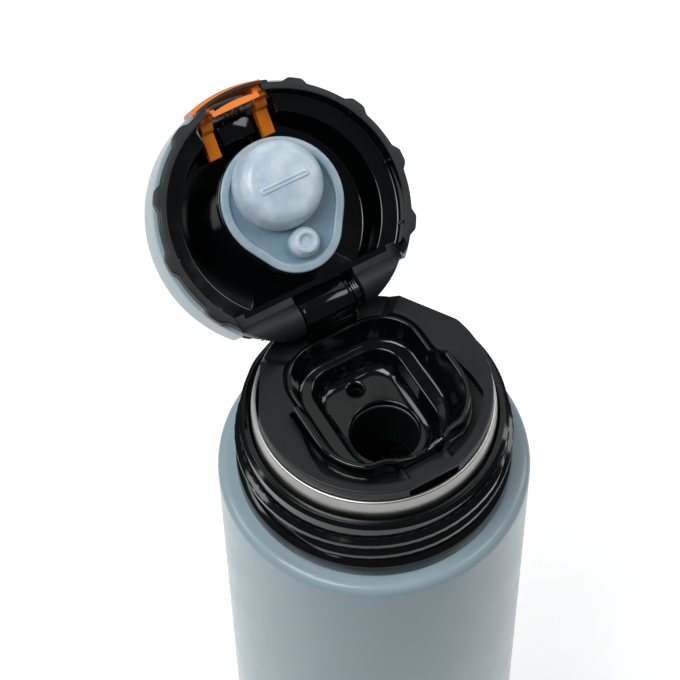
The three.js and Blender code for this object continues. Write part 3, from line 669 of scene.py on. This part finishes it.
def threaded_collar():
    """The black collar: a smooth band, a two-start thread with tapered ends, and a plain flange."""
    root, crest, lead, sweep = 31.1, 32.45, 9.5, 300.0
    low = MOUTH - 12.7
    starts = (-160.6, 19.4)
    top = MOUTH - 0.6

    def with_thread(r, z, angle):
        if abs(r - root) > 0.01:
            return r
        height = 0.0
        for start in starts:
            turned = (math.degrees(angle) - start) % 360
            if turned > sweep:
                continue
            ends = smooth(min(turned / 20, (sweep - turned) / 24))
            distance = abs(z - low - lead * turned / 360)
            flank = min(1.0, max(0.0, (0.35 + 1.2 * ends - distance) / (0.2 + 0.7 * ends)))
            height = max(height, (crest - root) * ends ** 0.7 * flank)
        return r + height

    rows = 96
    wall_top, wall_low = top - 1.0, MOUTH - 15.7
    profile = filleted([(28.5, top - 0.8, 0.1), (29, top, 0.2), (root, top, 0.9)], 8)[:-1]
    profile = [p for p in profile if p[1] > wall_top]
    profile += [(root, wall_top - (wall_top - wall_low) * k / rows) for k in range(rows + 1)]
    profile += [(root + 0.12, wall_low - 0.1), (crest - 0.1, MOUTH - 16.3), (crest + 0.06, MOUTH - 16.6),
                (crest + 0.1, MOUTH - 17), (crest + 0.1, COLLAR_LOW + 0.4), (crest, COLLAR_LOW + 0.12),
                (crest - 0.3, COLLAR_LOW), (28.5, COLLAR_LOW)]
    return lathed("threaded_collar", profile, 288, shape=with_thread)


# ---------------------------------------------------------------- cap

BOWL_CENTRE = (0.0, LIP_Y)
BOWL_STEPS = 288
BACK_OUTLINE = rounded_box_outline(17.0, -20.1, 18.2, 17, 10.4)
BACK_MOUTH = rounded_box_outline(16.1, -18.9, 17.3, 16, 9.6)


def lip_outline(inset):
    """The lip's outline, moved inwards, with its straight sides run on past the hinge."""
    return rounded_box_outline(LIP_HALF - inset, LIP_FRONT + inset, 40, LIP_CORNER_R - inset, 1)


LIP_OUTSIDE = lip_outline(0)
LIP_INSIDE = lip_outline(1.25)


def front_share(angle):
    """1 where the raised lip runs, 0 behind it; the lip ends in a step on one side, a ramp on the other."""
    y = LIP_Y + LIP_HALF * math.sin(angle)
    return smooth((4.6 - y) / 1.1) if math.cos(angle) < 0 else smooth((3.6 - y) / 5.5)


def lip_reach(angle, front_outline, back_outline):
    """Radius of an edge of the lip about the bowl's centre, drawn in a little beside the latch."""
    front = reach_of(front_outline, BOWL_CENTRE, angle)
    if math.sin(angle) < 0:
        beside_latch = 1 - abs(abs(front * math.cos(angle)) - 9.0) / 3.6
        front -= 0.85 * smooth(beside_latch)
    share = front_share(angle)
    return share * front + (1 - share) * reach_of(back_outline, BOWL_CENTRE, angle)


def lip_height(angle):
    """The lip stands up in front, dips over the latch and ends in a step beside the hinge."""
    x = LIP_HALF * math.cos(angle)
    dip = 2.0 * smooth((6.4 - abs(x)) / 5.0) if math.sin(angle) < 0 else 0.0
    return PLATE_TOP + (LIP_TOP - PLATE_TOP - dip) * front_share(angle)


def bowl_section(angle):
    """The bowl's section at an angle about its centre, as (radius, height) points."""
    def reach(half, front, back, front_r, back_r):
        return reach_of(rounded_box_outline(half, front, back, front_r, back_r), BOWL_CENTRE, angle)

    outside = lip_reach(angle, LIP_OUTSIDE, BACK_OUTLINE)
    inside = lip_reach(angle, LIP_INSIDE, BACK_MOUTH)
    height = lip_height(angle)
    edge = 0.42 * (outside - inside)
    flange = outside + 0.06 + 0.4 * front_share(angle)
    under_ledge = reach(16.3, -19.5, 16.7, 15, 10.2)
    well = [(0, BOWL_FLOOR, 0), (reach(9.9, -15.7, 12.2, 8.4, 5.6), BOWL_FLOOR, 3.2),
            (reach(11.3, -17.1, 13.3, 9.6, 6.4), BOWL_FLOOR + 5.4, 0.7),
            (reach(14.8, -18.1, 15.3, 13.7, 9.2), BOWL_FLOOR + 5.9, 1.3)]
    lip = [(inside, height, edge), (outside, height, edge), (outside, PLATE_TOP - 1.5, 0.15),
           (flange, PLATE_TOP - 1.5, 0.15), (flange, PLATE_LOW + 0.9, 0.02)]
    underside = [(under_ledge, PLATE_LOW + 0.85, 0.02), (under_ledge, BOWL_UNDER + 6, 0.5),
                 (reach(12.9, -18.6, 14.9, 11.2, 8), BOWL_UNDER + 5.4, 0.5),
                 (reach(10.2, -15.2, 12.8, 8.6, 6), BOWL_UNDER, 1.2), (0, BOWL_UNDER, 0)]
    return arcs_of(well + lip + underside, 7)


def bowl():
    """The drinking bowl: a raised lip, a steep well with a ledge round it, and the pour and vent holes."""
    angles = [2 * math.pi * k / BOWL_STEPS for k in range(BOWL_STEPS)]
    sections = [bowl_section(angle) for angle in angles]
    rings = []
    for level in zip(*sections):
        ring = [(r * math.cos(angle), LIP_Y + r * math.sin(angle), z)
                for angle, (r, z) in zip(angles, level)]
        rings.append(ring[:1] if level[0][0] < 1e-6 else ring)
    body = skinned("bowl", rings)
    pour = lathed("pour", hole_profile(POUR_R, 0.5), 96, (0, POUR_Y))
    vent = lathed("vent", hole_profile(VENT_R, 0.9), 48, (0, VENT_Y))
    return cut(body, pour, vent)


def hole_profile(r, lead):
    """A hole through the bowl's floor with a rounded lead-in."""
    arc = [math.pi / 2 * k / 6 for k in range(7)]
    mouth = [(r + lead * (1 - math.sin(a)), BOWL_FLOOR - lead * (1 - math.cos(a))) for a in arc]
    return [(0, BOWL_UNDER - 1), (r, BOWL_UNDER - 1)] + mouth[::-1] + [
        (r + lead, BOWL_FLOOR + 0.6), (0, BOWL_FLOOR + 0.6)]


def spun(piece, degrees):
    """Turns a piece about the bottle's axis."""
    piece.data.transform(Matrix.Rotation(math.radians(degrees), 4, "Z"))
    return piece


def round_the_bowl(name, low, extra):
    """The hollow for the bowl from a height up; extra widens it at an angle about the bowl's centre."""
    outline = []
    for k in range(BOWL_STEPS):
        angle = 2 * math.pi * k / BOWL_STEPS
        r = lip_reach(angle, LIP_OUTSIDE, BACK_OUTLINE)
        r += extra(angle, r)
        outline.append((r * math.cos(angle), LIP_Y + r * math.sin(angle)))
    return raised(name, outline, low, PLATE_TOP + 1)


def bowl_gap(angle, lip):
    """The even gap between the plate and the bowl."""
    return 0.3


def moat_width(angle, lip):
    """The moat round the front of the lip: wide at the corners, tapering away beside the hinge."""
    dx, dy = math.cos(angle), math.sin(angle)
    along = LIP_Y * dy
    to_circle = -along + math.sqrt(along * along - LIP_Y * LIP_Y + MOAT_R * MOAT_R)
    to_side = MOAT_HALF / max(abs(dx), 1e-3)
    fade = smooth((-0.5 - (LIP_Y + lip * dy)) / 8)
    return 0.8 + fade * max(0.0, min(to_circle, to_side) - lip - 0.8)


def latch_catch():
    """The catch in the moat: a low seat for the hook between two wedges with sloping sides."""
    top, low = PLATE_TOP, PLATE_LOW + 0.5
    rings = []
    for y, foot in [(-25.4, 5.9), (-23.8, 6.8), (-22.6, 7.5), (-20.6, 5.9)]:
        half = [(foot, top - 1.9), (5.7, top - 0.05), (5.3, top - 0.05), (4.3, top - 1.3)]
        section = [(foot, low)] + half + [(-x, z) for x, z in reversed(half)] + [(-foot, low)]
        rings.append([(x, y, z) for x, z in section])
    return skinned("latch_catch", rings)


def plate():
    """The cap's flat plate, with its trimmed sides, the moat round the lip and the latch's catch."""
    profile = [(0, PLATE_LOW, 0), (PLATE_R, PLATE_LOW, 0.2), (PLATE_R, PLATE_TOP, 0.35), (0, PLATE_TOP, 0)]
    body = lathed("plate", filleted(profile, 5), 192)
    trims = [spun(block("trim", r, 40, -30, 30, PLATE_LOW - 1, PLATE_TOP + 1), turn)
             for r, turn in [(25.6, 33), (26.1, 149)]]
    hole = round_the_bowl("hole", PLATE_LOW - 1, bowl_gap)
    moat = round_the_bowl("moat", PLATE_LOW + 0.6, moat_width)
    slot = block("slot", -6.4, 6.4, -29, -25.2, PLATE_LOW - 1, PLATE_LOW + 2.2)
    bar_front = block("bar_front", -6.4, 6.4, -29, -26.4, PLATE_LOW - 1, PLATE_TOP + 1)
    under_knuckle = block("under_knuckle", -6.6, 6.6, 18.7, 30, PLATE_LOW + 2.4, PLATE_TOP + 1)
    cut(body, *trims, moat, *[back_step(side) for side in (-1, 1)])
    join(body, latch_catch())
    cut(body, hole, slot, bar_front, under_knuckle)
    return softened(body, 0.16, 2)


def back_step(side):
    """The low corner of the plate beside the knuckle: a diagonal slope down to a ledge."""
    x, y = 13.6, 15.2
    along = Vector((0.76, 0.65))
    away = Vector((-along.y, along.x))
    section = [(0, 0), (2.7, -2.3), (40, -2.3), (40, 4), (0, 4)]
    rings = []
    for reach in (-30, 30):
        ring = []
        for out, up in section:
            place = Vector((x, y)) + along * reach + away * out
            ring.append((side * place.x, place.y, PLATE_TOP + up))
        rings.append(ring)
    step = skinned("back_step", rings)
    low, high = (6.3, 40) if side > 0 else (-40, -6.3)
    return kept(step, block("beside", low, high, 10, 40, PLATE_LOW - 2, PLATE_TOP + 6))


def knuckle():
    """The glossy hinge knuckle that stands on the plate, with a shallow line along its front."""
    half, y, z = 6.3, HINGE.y, HINGE.z
    r = 4.6
    post = slab("knuckle", filleted([(y - 4.5, PLATE_LOW + 0.6, 0), (y + 3.7, PLATE_LOW + 0.6, 0),
                                     (y + 4.5, z, 0.5), (y + 1, z + 2, 0.5), (y - 4.3, z + 0.4, 0.5)], 4),
                -half, half)
    barrel = rod("barrel", r, -half, half, y, z, steps=96)
    body = join(post, barrel)
    flat = slab("flat", [(y - 7, z + 1.2), (y - 4.42, z + 1.2), (y - 4.42, z - 1.4), (y - 7, z - 1.4)],
                -half + 0.7, half - 0.7)
    bore = rod("bore", 1.6, -10, 10, y, z)
    ends = [rod("end_groove", 5.2, x, x + 0.22, y, z) for x in (half - 0.85, -half + 0.63)]
    for groove in ends:
        cut(groove, rod("groove_core", r - 0.28, -10, 10, y, z, steps=96))
    cut(body, flat, bore, *ends)
    return softened(body, 0.25, 3)


def hinge_coil():
    """The lid's torsion spring, with one leg down on the plate."""
    y, z, r = HINGE.y, HINGE.z, 3.3
    turns, per_turn = 3.2, 28
    count = round(turns * per_turn)
    coil = []
    for k in range(count + 1):
        angle = -2.3 + 2 * math.pi * turns * k / count
        coil.append((6.85 + 1.85 * k / count, y + r * math.cos(angle), z + r * math.sin(angle)))
    tail = [(6.8, y - 4.4, PLATE_TOP + 0.6), (6.85, y - 3.8, PLATE_TOP + 1.2)]
    return wire("hinge_coil", tail + coil, 0.36)


def plug_seal():
    """The ring between the bowl and the plug's pour channel."""
    return lathed("plug_seal", filleted([(8.2, BOWL_UNDER - 0.85, 0.15), (9.2, BOWL_UNDER - 0.85, 0.15),
                                         (9.2, BOWL_UNDER - 0.25, 0.15), (8.2, BOWL_UNDER - 0.25, 0.15)], 3),
                  96, (0, POUR_Y))


# ---------------------------------------------------------------- lid, drawn closed


def high_up(depth):
    """Height of a place in the closed lid, from its depth behind the rim."""
    return RIM + depth


def at_depths(corners):
    """Profile corners given by depth, as heights of the closed lid."""
    return [(r, high_up(depth), radius) for r, depth, radius in corners]


def disc(name, r, low, high, steps):
    """A round block about the lid's axis, from one depth to another."""
    z_low, z_high = high_up(low), high_up(high)
    return lathed(name, [(0, z_low), (r, z_low), (r, z_high), (0, z_high)], steps)


def swing_room(name="swing_room"):
    """The room that the cap's plate and the mouth need when the lid is thrown back."""
    turn = math.radians(OPEN_ANGLE)
    outline = []
    for y, z in [(5.6, -6.4), (5.6, -40), (-60, -40), (-60, -6.4)]:
        outline.append((HINGE.y + y * math.cos(turn) - z * math.sin(turn),
                        HINGE.z + y * math.sin(turn) + z * math.cos(turn)))
    return slab(name, outline, -40, 40)


def hinge_room(low):
    """The room for the hinge, which flares towards the opening so that the rim runs down to the barrels."""
    rings = []
    for depth, spread in [(-1, 1.25), (3.2, 0.0), (30, 0.0)]:
        side, front = HINGE_HALF + 1.2 * spread, low - 4 * spread
        corners = [(-side, front), (side, front), (side, 40), (-side, 40)]
        rings.append([(x, y, high_up(depth)) for x, y in corners])
    return skinned("hinge_room", rings)


def button_window():
    """The window in the lid's side that the button fills."""
    return block("window", -9.5, 9.5, -40, -20.8, high_up(2.3), high_up(15))


def hook_room():
    """The room for the button's hook inside the rim."""
    side = block("hook_sides", -7.2, 7.2, -40, -24, high_up(-1), high_up(2.4))
    return kept(side, disc("hook_disc", RIM_R - 0.05, -2, 4, 160))


def scalloped(r, z, angle):
    """The rim's outside swells every 30 degrees, apart from the hinge and the button."""
    degrees = math.degrees(angle)
    nearest = 30 * round(degrees / 30)
    if r < RIM_R - 0.9 or nearest % 360 == 270 or 30 < nearest % 360 < 150:
        return r
    return r + 1.1 * smooth((6.6 - abs(degrees - nearest)) / 4.2)


def lid_rim():
    """The rim of the lid: a textured band with swellings, and a pad beneath the button."""
    profile = filleted(at_depths([
        (RIM_BORE_R, 0, 0.12), (RIM_R, 0, 0.45), (RIM_R, 3.1, 0.2), (28.35, 3.1, 0), (28.35, 0.5, 0),
        (RIM_BORE_R, 0.5, 0)]), 4)
    rim = lathed("lid_rim", profile, 360, shape=scalloped)
    pad_profile = at_depths([(25, 0.3, 0), (RIM_R + 0.7, 0.3, 0.3), (RIM_R + 0.7, 2.3, 0.2), (25, 2.3, 0)])
    pad = kept(lathed("pad", filleted(pad_profile, 3), 200),
               block("pad_sides", -9, 9, -40, -20, high_up(-1), high_up(3)))
    join(rim, cut(pad, disc("pad_core", 28.6, -1, 4, 200)))
    cut(rim, hinge_room(CHORD_Y - 1.3), button_window(), hook_room())
    return softened(rim, 0.12, 2, 50)


def cover_room(name, foot_r):
    """The room inside the cover, widened at the foot by the radius that a piece may reach there."""
    profile = [(0, -6), (foot_r, -6), (foot_r, 8.2), (28, 12.5), (26.2, 16.2), (20, 19.5), (0, 19.5)]
    return lathed(name, [(r, high_up(depth)) for r, depth in profile], 160)


def hinge_barrels():
    """The lid's two barrels, which run out into the back wall."""
    top = high_up(CEILING - 1)
    y, z = HINGE.y, HINGE.z
    barrels = []
    for low, high in [(-HINGE_HALF, -6.7), (9.2, HINGE_HALF)]:
        web = slab("web", [(CHORD_Y - 1.25, high_up(LEDGE)), (y - 3, z - 3), (y, z), (y, z + 4.4),
                           (CHORD_Y + 2, top), (CHORD_Y - 1.25, top)], low, high)
        barrel = rod("hinge_barrel", 4.4, low, high, y, z, 0, 96)
        barrels.append(kept(join(barrel, web), cover_room("room", RIM_R - 0.1)))
    whole = join(*barrels)
    whole.name = "hinge_barrels"
    cut(whole, rod("bore", 1.6, -17.2, 17.2, y, z), swing_room())
    return softened(whole, 0.35, 3, 35)


def lid_inside():
    """The glossy inside of the lid: bore with thin ribs, ledge, inner wall, ceiling and back wall."""
    profile = filleted(at_depths([
        (RIM_BORE_R, 0.5, 0), (28.3, 0.5, 0), (28.3, 3.1, 0), (28.8, 3.1, 0), (28.8, 6.2, 0.3),
        (24.6, 6.2, 0.3),
        (24.6, 16.4, 1.5), (22.4, 18.2, 1), (0, 18.2, 0), (0, CEILING, 0), (INNER_R, CEILING, 1.6),
        (INNER_R, LEDGE, 0.5), (RIM_BORE_R, LEDGE, 0.7)]), 6)
    liner = lathed("lid_inside", profile, 240)
    ribs = []
    for k in range(12):
        angle = 30 * k
        if angle == 270 or 30 < angle < 150:
            continue
        rib = block("rib", 27.35, 28, -0.35, 0.35, high_up(1.0), high_up(LEDGE + 0.4))
        ribs.append(spun(rib, angle))
    join(liner, *ribs)
    cut(liner, hinge_room(CHORD_Y - 1.3), button_window(), hook_room())
    chord = block("chord", -18.6, 18.6, CHORD_Y - 1.3, CHORD_Y, high_up(LEDGE), high_up(CEILING + 0.2))
    cheeks = [kept(block("cheek", low, high, -29, -22, high_up(LEDGE + 0.4), high_up(10.6)),
                   cover_room("room", 28.8)) for low, high in [(-12.2, -9.5), (9.5, 12.2)]]
    latch_block = block("latch_block", -4, 4, -24.8, -19.5, high_up(9.8), high_up(CEILING + 0.2))
    cut(latch_block, rod("spring_room", 2.6, -5, 5, PIN_Y, high_up(PIN_DEPTH)))
    join(liner, chord, *cheeks, latch_block)
    cut(liner, rod("pin_bore", 1.1, -11.7, 11.7, PIN_Y, high_up(PIN_DEPTH)), swing_room())
    return softened(liner, 0.18, 2, 40)


def lid_cover():
    """The painted outside of the lid, rounded at its top."""
    profile = filleted(at_depths([
        (COVER_R, 3.4, 0.3), (COVER_R, 21.9, 12.5), (0, 23, 0), (0, 21.8, 0), (29.1, 20.7, 11.3),
        (29.1, 3.4, 0.2)]), 20)
    cover = lathed("lid_cover", profile, 240)
    window = block("window", -9.5, 9.5, -40, -20, high_up(-1), high_up(15.2))
    notch = block("notch", -HINGE_HALF - 0.3, HINGE_HALF + 0.3, CHORD_Y - 0.5, 40, high_up(-1),
                  high_up(CEILING + 1.6))
    cut(cover, window, notch, swing_room())
    return softened(cover, 0.2, 2, 40)


def egg_outline(inset, steps=36):
    """The seal's outline: a wide round in front and a narrower one behind."""
    front_y, back_y = -2.6, 3.8
    front_r, back_r = 14.4 - inset, 11.0 - inset
    tilt = math.asin((front_r - back_r) / (back_y - front_y))
    outline = []
    for k in range(steps + 1):
        angle = math.pi - tilt + (math.pi + 2 * tilt) * k / steps
        outline.append((front_r * math.cos(angle), front_y + front_r * math.sin(angle)))
    for k in range(steps + 1):
        angle = tilt + (math.pi - 2 * tilt) * k / steps
        outline.append((back_r * math.cos(angle), back_y + back_r * math.sin(angle)))
    return outline


def seal_holder():
    """The black boss that carries the seal, with a fine groove round its side."""
    section = arcs_of([
        (9, 1.5, 0), (-0.2, 1.5, 0.25), (-0.2, 2.5, 0.06), (0.1, 2.65, 0.06), (0.1, 2.85, 0.06),
        (-0.2, 3, 0.06), (-0.2, 4, 0.3), (3.4, 4.1, 0.3), (3.4, CEILING - 0.3, 0.1),
        (9, CEILING - 0.3, 0)], 4)
    rings = [[(x, y, high_up(depth)) for x, y in egg_outline(inset)] for inset, depth in section]
    return skinned("seal_boss", rings)


def silicone_seal():
    """The seal: a double-edged rim round a thin web, the pour plug's dome and the vent plug's nub."""
    section = arcs_of([
        (9, 1.35, 0), (0.3, 1.35, 0.3), (0.3, 0.55, 0.15), (0.75, 0.4, 0.12), (0.0, 0.3, 0.15),
        (0.0, -0.5, 0.55), (1.9, -0.5, 0.5), (2.3, 0.5, 0.25), (9, 0.5, 0)], 5)
    rings = [[(x, y, high_up(depth)) for x, y in egg_outline(inset)] for inset, depth in section]
    seal = skinned("silicone_seal", rings)
    low = BOWL_FLOOR + 0.3
    web = high_up(0.9)
    dome = lathed("dome", filleted([
        (0, low, 0), (DOME_R - 1.0, low + 0.4, 5.2), (DOME_R, high_up(-2.2), 0.4),
        (DOME_R, high_up(0.2), 0.3), (DOME_R + 0.5, web, 0.1), (0, web, 0)], 14), 144, (0, DOME_Y))
    nub_low = high_up(-3.4)
    nub = lathed("nub", filleted([
        (0, nub_low + 1.2, 0), (1.25, nub_low + 1.2, 0.3), (1.7, nub_low, 0.35), (2.6, nub_low, 0.45),
        (3.3, nub_low + 1.2, 0.5), (3.5, high_up(-1.2), 0.3), (3.5, high_up(0.2), 0.2), (4.0, web, 0.1),
        (0, web, 0)], 6), 72, (0, NUB_Y))
    return join(seal, dome, nub, dome_bar())


def bar_outline(half_length, half_width, radius, steps):
    """The level outline of a narrow bar along X."""
    x, y = half_length, half_width
    return filleted([(-x, -y, radius), (x, -y, radius), (x, y, radius), (-x, y, radius)], steps)


def dome_bar():
    """A plain raised bar that lies across the top of the dome."""
    bar = raised("bar", bar_outline(6.1, 0.75, 0.7, 6), BOWL_FLOOR + 0.05, BOWL_FLOOR + 1.5, 0.3, 4)
    groove = raised("groove", bar_outline(5.5, 0.28, 0.25, 4), BOWL_FLOOR - 1, BOWL_FLOOR + 0.35)
    cut(bar, groove)
    bar.data.transform(Matrix.Translation(Vector((0, DOME_Y + 0.4, 0)) * MM))
    return bar


def button():
    """The release button: a curved face, two bent legs on its pin, and the latch's hook."""
    low, high = 3.2, 14.4
    face = lathed("button_face", filleted(at_depths([
        (COVER_R - 0.9, low, 0.2), (COVER_R + 0.1, low, 0.5), (COVER_R + 0.8, low + 3, 2),
        (COVER_R + 0.8, high - 2, 1.5), (COVER_R + 0.1, high, 0.5), (COVER_R - 0.9, high, 0.2)]), 5), 360)
    kept(face, block("sides", -BUTTON_HALF, BUTTON_HALF, -40, -20, RIM, high_up(30)))
    leg = filleted(at_depths([(-28.4, 2.7, 0.3), (-27, 2.7, 0.3), (-27, 4, 0.8), (-23.5, 8.4, 1.2),
                              (-17.5, 10.6, 0.4), (-17.8, 12.8, 0.4), (-24.6, 11, 1.5), (-28.4, 6, 0.8)]), 4)
    web = [(y, high_up(depth)) for y, depth in [(-29.8, 4), (-26, 4), (-24.4, 10), (-29.8, 12.5)]]
    parts = []
    for x in (-7, 7):
        low_x, high_x = x - 1.45, x + 1.45
        parts += [slab("leg", leg, low_x, high_x), slab("web", web, low_x, high_x),
                  rod("boss", 2.1, low_x, high_x, PIN_Y, high_up(PIN_DEPTH))]
    hook = slab("hook", [(y, high_up(depth)) for y, depth in
                         [(-25.9, 0.8), (-27.6, 0.8), (-27.6, 2.2), (-26.2, 2.2)]], -6, 6)
    kept(hook, disc("hook_reach", 27.5, 0, 3, 160))
    arms = [block("arm", a, b, -27.6, -26.95, high_up(1.4), high_up(4)) for a, b in [(-6.1, -5), (5, 6.1)]]
    join(face, *parts, *arms, hook)
    cut(face, rod("bore", 1.1, -12, 12, PIN_Y, high_up(PIN_DEPTH)))
    return softened(face, 0.2, 3, 35)


def button_coil():
    """The button's return spring round its pin."""
    count = 120
    coil = []
    for k in range(count + 1):
        angle = 2 * math.pi * 4.5 * k / count
        coil.append((-2.6 + 5.2 * k / count, PIN_Y + 1.55 * math.cos(angle),
                     high_up(PIN_DEPTH) + 1.55 * math.sin(angle)))
    return wire("button_coil", coil, 0.22, 8)


# ---------------------------------------------------------------- the assembly

paint = satin_paint()
steel = brushed_steel()
gloss = polished_black()
satin = satin_black()
textured = rim_black()
silicone = milky_silicone()
orange = moulded_orange()
inner_steel = plain_steel()
spring_steel = dark_spring_steel()
seal_rubber = grey_seal_rubber()

finished(body_shell(), "bottle", "body_paint", paint, "outer_shell")
finished(steel_mouth(), "bottle", "bare_steel", steel, "neck_ring")
finished(foot_cover(), "bottle", "bare_steel", steel, "base_plate")
finished(threaded_collar(), "bottle", "gloss_black", gloss, "neck_collar")
finished(plate(), "cap", "matt_black", satin, "cap_plate")
finished(knuckle(), "cap", "gloss_black", gloss, "cap_plate")
finished(bowl(), "cap", "gloss_black", gloss, "drinking_bowl")
finished(hinge_coil(), "cap", "bare_steel", spring_steel, "hinge_spring")
finished(plug_seal(), "cap", "grey_seal", seal_rubber, "channel_seal")
finished(opened(lid_rim()), "lid", "matt_black", textured, "lid_liner")
finished(opened(hinge_barrels()), "lid", "matt_black", textured, "lid_liner")
finished(opened(lid_inside()), "lid", "gloss_black", gloss, "lid_liner")
finished(opened(lid_cover()), "lid", "body_paint", paint, "lid_shell")
finished(opened(seal_holder()), "lid", "gloss_black", gloss, "seal_holder")
finished(opened(silicone_seal()), "lid", "silicone", silicone, "lid_seal")
finished(opened(button()), "button", "orange_button", orange, "release_button")
finished(opened(button_coil()), "lid", "bare_steel", spring_steel, "button_spring")

carried_over = {
    "inner_liner": inner_steel, "vacuum_plate": inner_steel, "getter": inner_steel, "hinge_pin": inner_steel,
    "button_pin": inner_steel, "vacuum_seal": glassy_bead(), "heat_shield": copper_foil(),
    "mouth_gasket": seal_rubber, "cap_plug": satin, "cap_insulation": white_foam(),
}
for node, material in carried_over.items():
    for place in frame["nodes"][node].material_slots:
        place.material = material


# ---------------------------------------------------------------- floor, lights and camera


def pale_floor():
    """A wide, plain, pale floor that glows behind the bottle, as a studio's light table does."""
    finish = Finish("pale_floor")
    cloud = finish.noise(160, 2)
    parts = finish.add("ShaderNodeSeparateXYZ", inputs={0: finish.place()})
    away = ((parts.of("X") - 0.1) ** 2 + (parts.of("Y") - 0.2) ** 2) ** 0.5
    color = finish.mixed(cloud, (0.8, 0.8, 0.8), (0.84, 0.84, 0.84))
    glow = finish.mixed(finish.between(away, 0.26, 0.42), (0.55, 0.55, 0.55), (0.05, 0.05, 0.05))
    floor = made("floor", [(-12000, -12000, 0), (12000, -12000, 0), (12000, 12000, 0), (-12000, 12000, 0)],
                 [(0, 1, 2, 3)])
    floor.data.materials.append(finish.surface(color, 0.75, emission_color=glow, emission_strength=1.0))


def soft_light(name, turn, pitch, distance, width, height, brightness):
    """A soft panel that faces the cap, from a turn about the bottle and a pitch above level."""
    data = bpy.data.lights.new(name, "AREA")
    data.shape = "RECTANGLE"
    data.size, data.size_y = width * MM, height * MM
    data.energy = brightness * math.pi * data.size * data.size_y
    lamp = bpy.data.objects.new(name, data)
    aimed(lamp, turn, pitch, distance)
    bpy.context.scene.collection.objects.link(lamp)


def aimed(thing, turn, pitch, distance):
    """Puts a thing at a turn, a pitch and a distance from the middle of the cap, facing it."""
    across, up = math.radians(turn), math.radians(pitch)
    away = Vector((math.sin(across) * math.cos(up), -math.cos(across) * math.cos(up), math.sin(up)))
    thing.location = (Vector((0, 0, VIEW_HEIGHT)) + away * distance) * MM
    thing.rotation_euler = away.to_track_quat("Z", "Y").to_euler()


VIEW_HEIGHT = MOUTH + 28.83

pale_floor()
soft_light("left_panel", -125, 37, 900, 300, 420, 4.5)
soft_light("right_panel", 84, 30, 900, 240, 600, 3.5)
soft_light("back_panel", 150, 48, 1000, 900, 600, 0.6)
soft_light("key_panel", -80, 64, 900, 460, 460, 8.0)
soft_light("front_panel", 62, 58, 900, 300, 300, 4.0)

world = bpy.data.worlds.new("room")
world.use_nodes = True
world.node_tree.nodes["Background"].inputs["Color"].default_value = (0.95, 0.98, 1.0, 1.0)
world.node_tree.nodes["Background"].inputs["Strength"].default_value = 0.1
bpy.context.scene.world = world
bpy.context.scene.view_settings.view_transform = "Standard"

camera = bpy.data.objects.new("camera", bpy.data.cameras.new("camera"))
camera.data.lens = 139.17
camera.data.sensor_width = 36
camera.data.shift_x = -0.0501
camera.data.clip_end = 100
aimed(camera, -30.63, 57.02, 579.4)
bpy.context.scene.collection.objects.link(camera)
bpy.context.scene.camera = camera
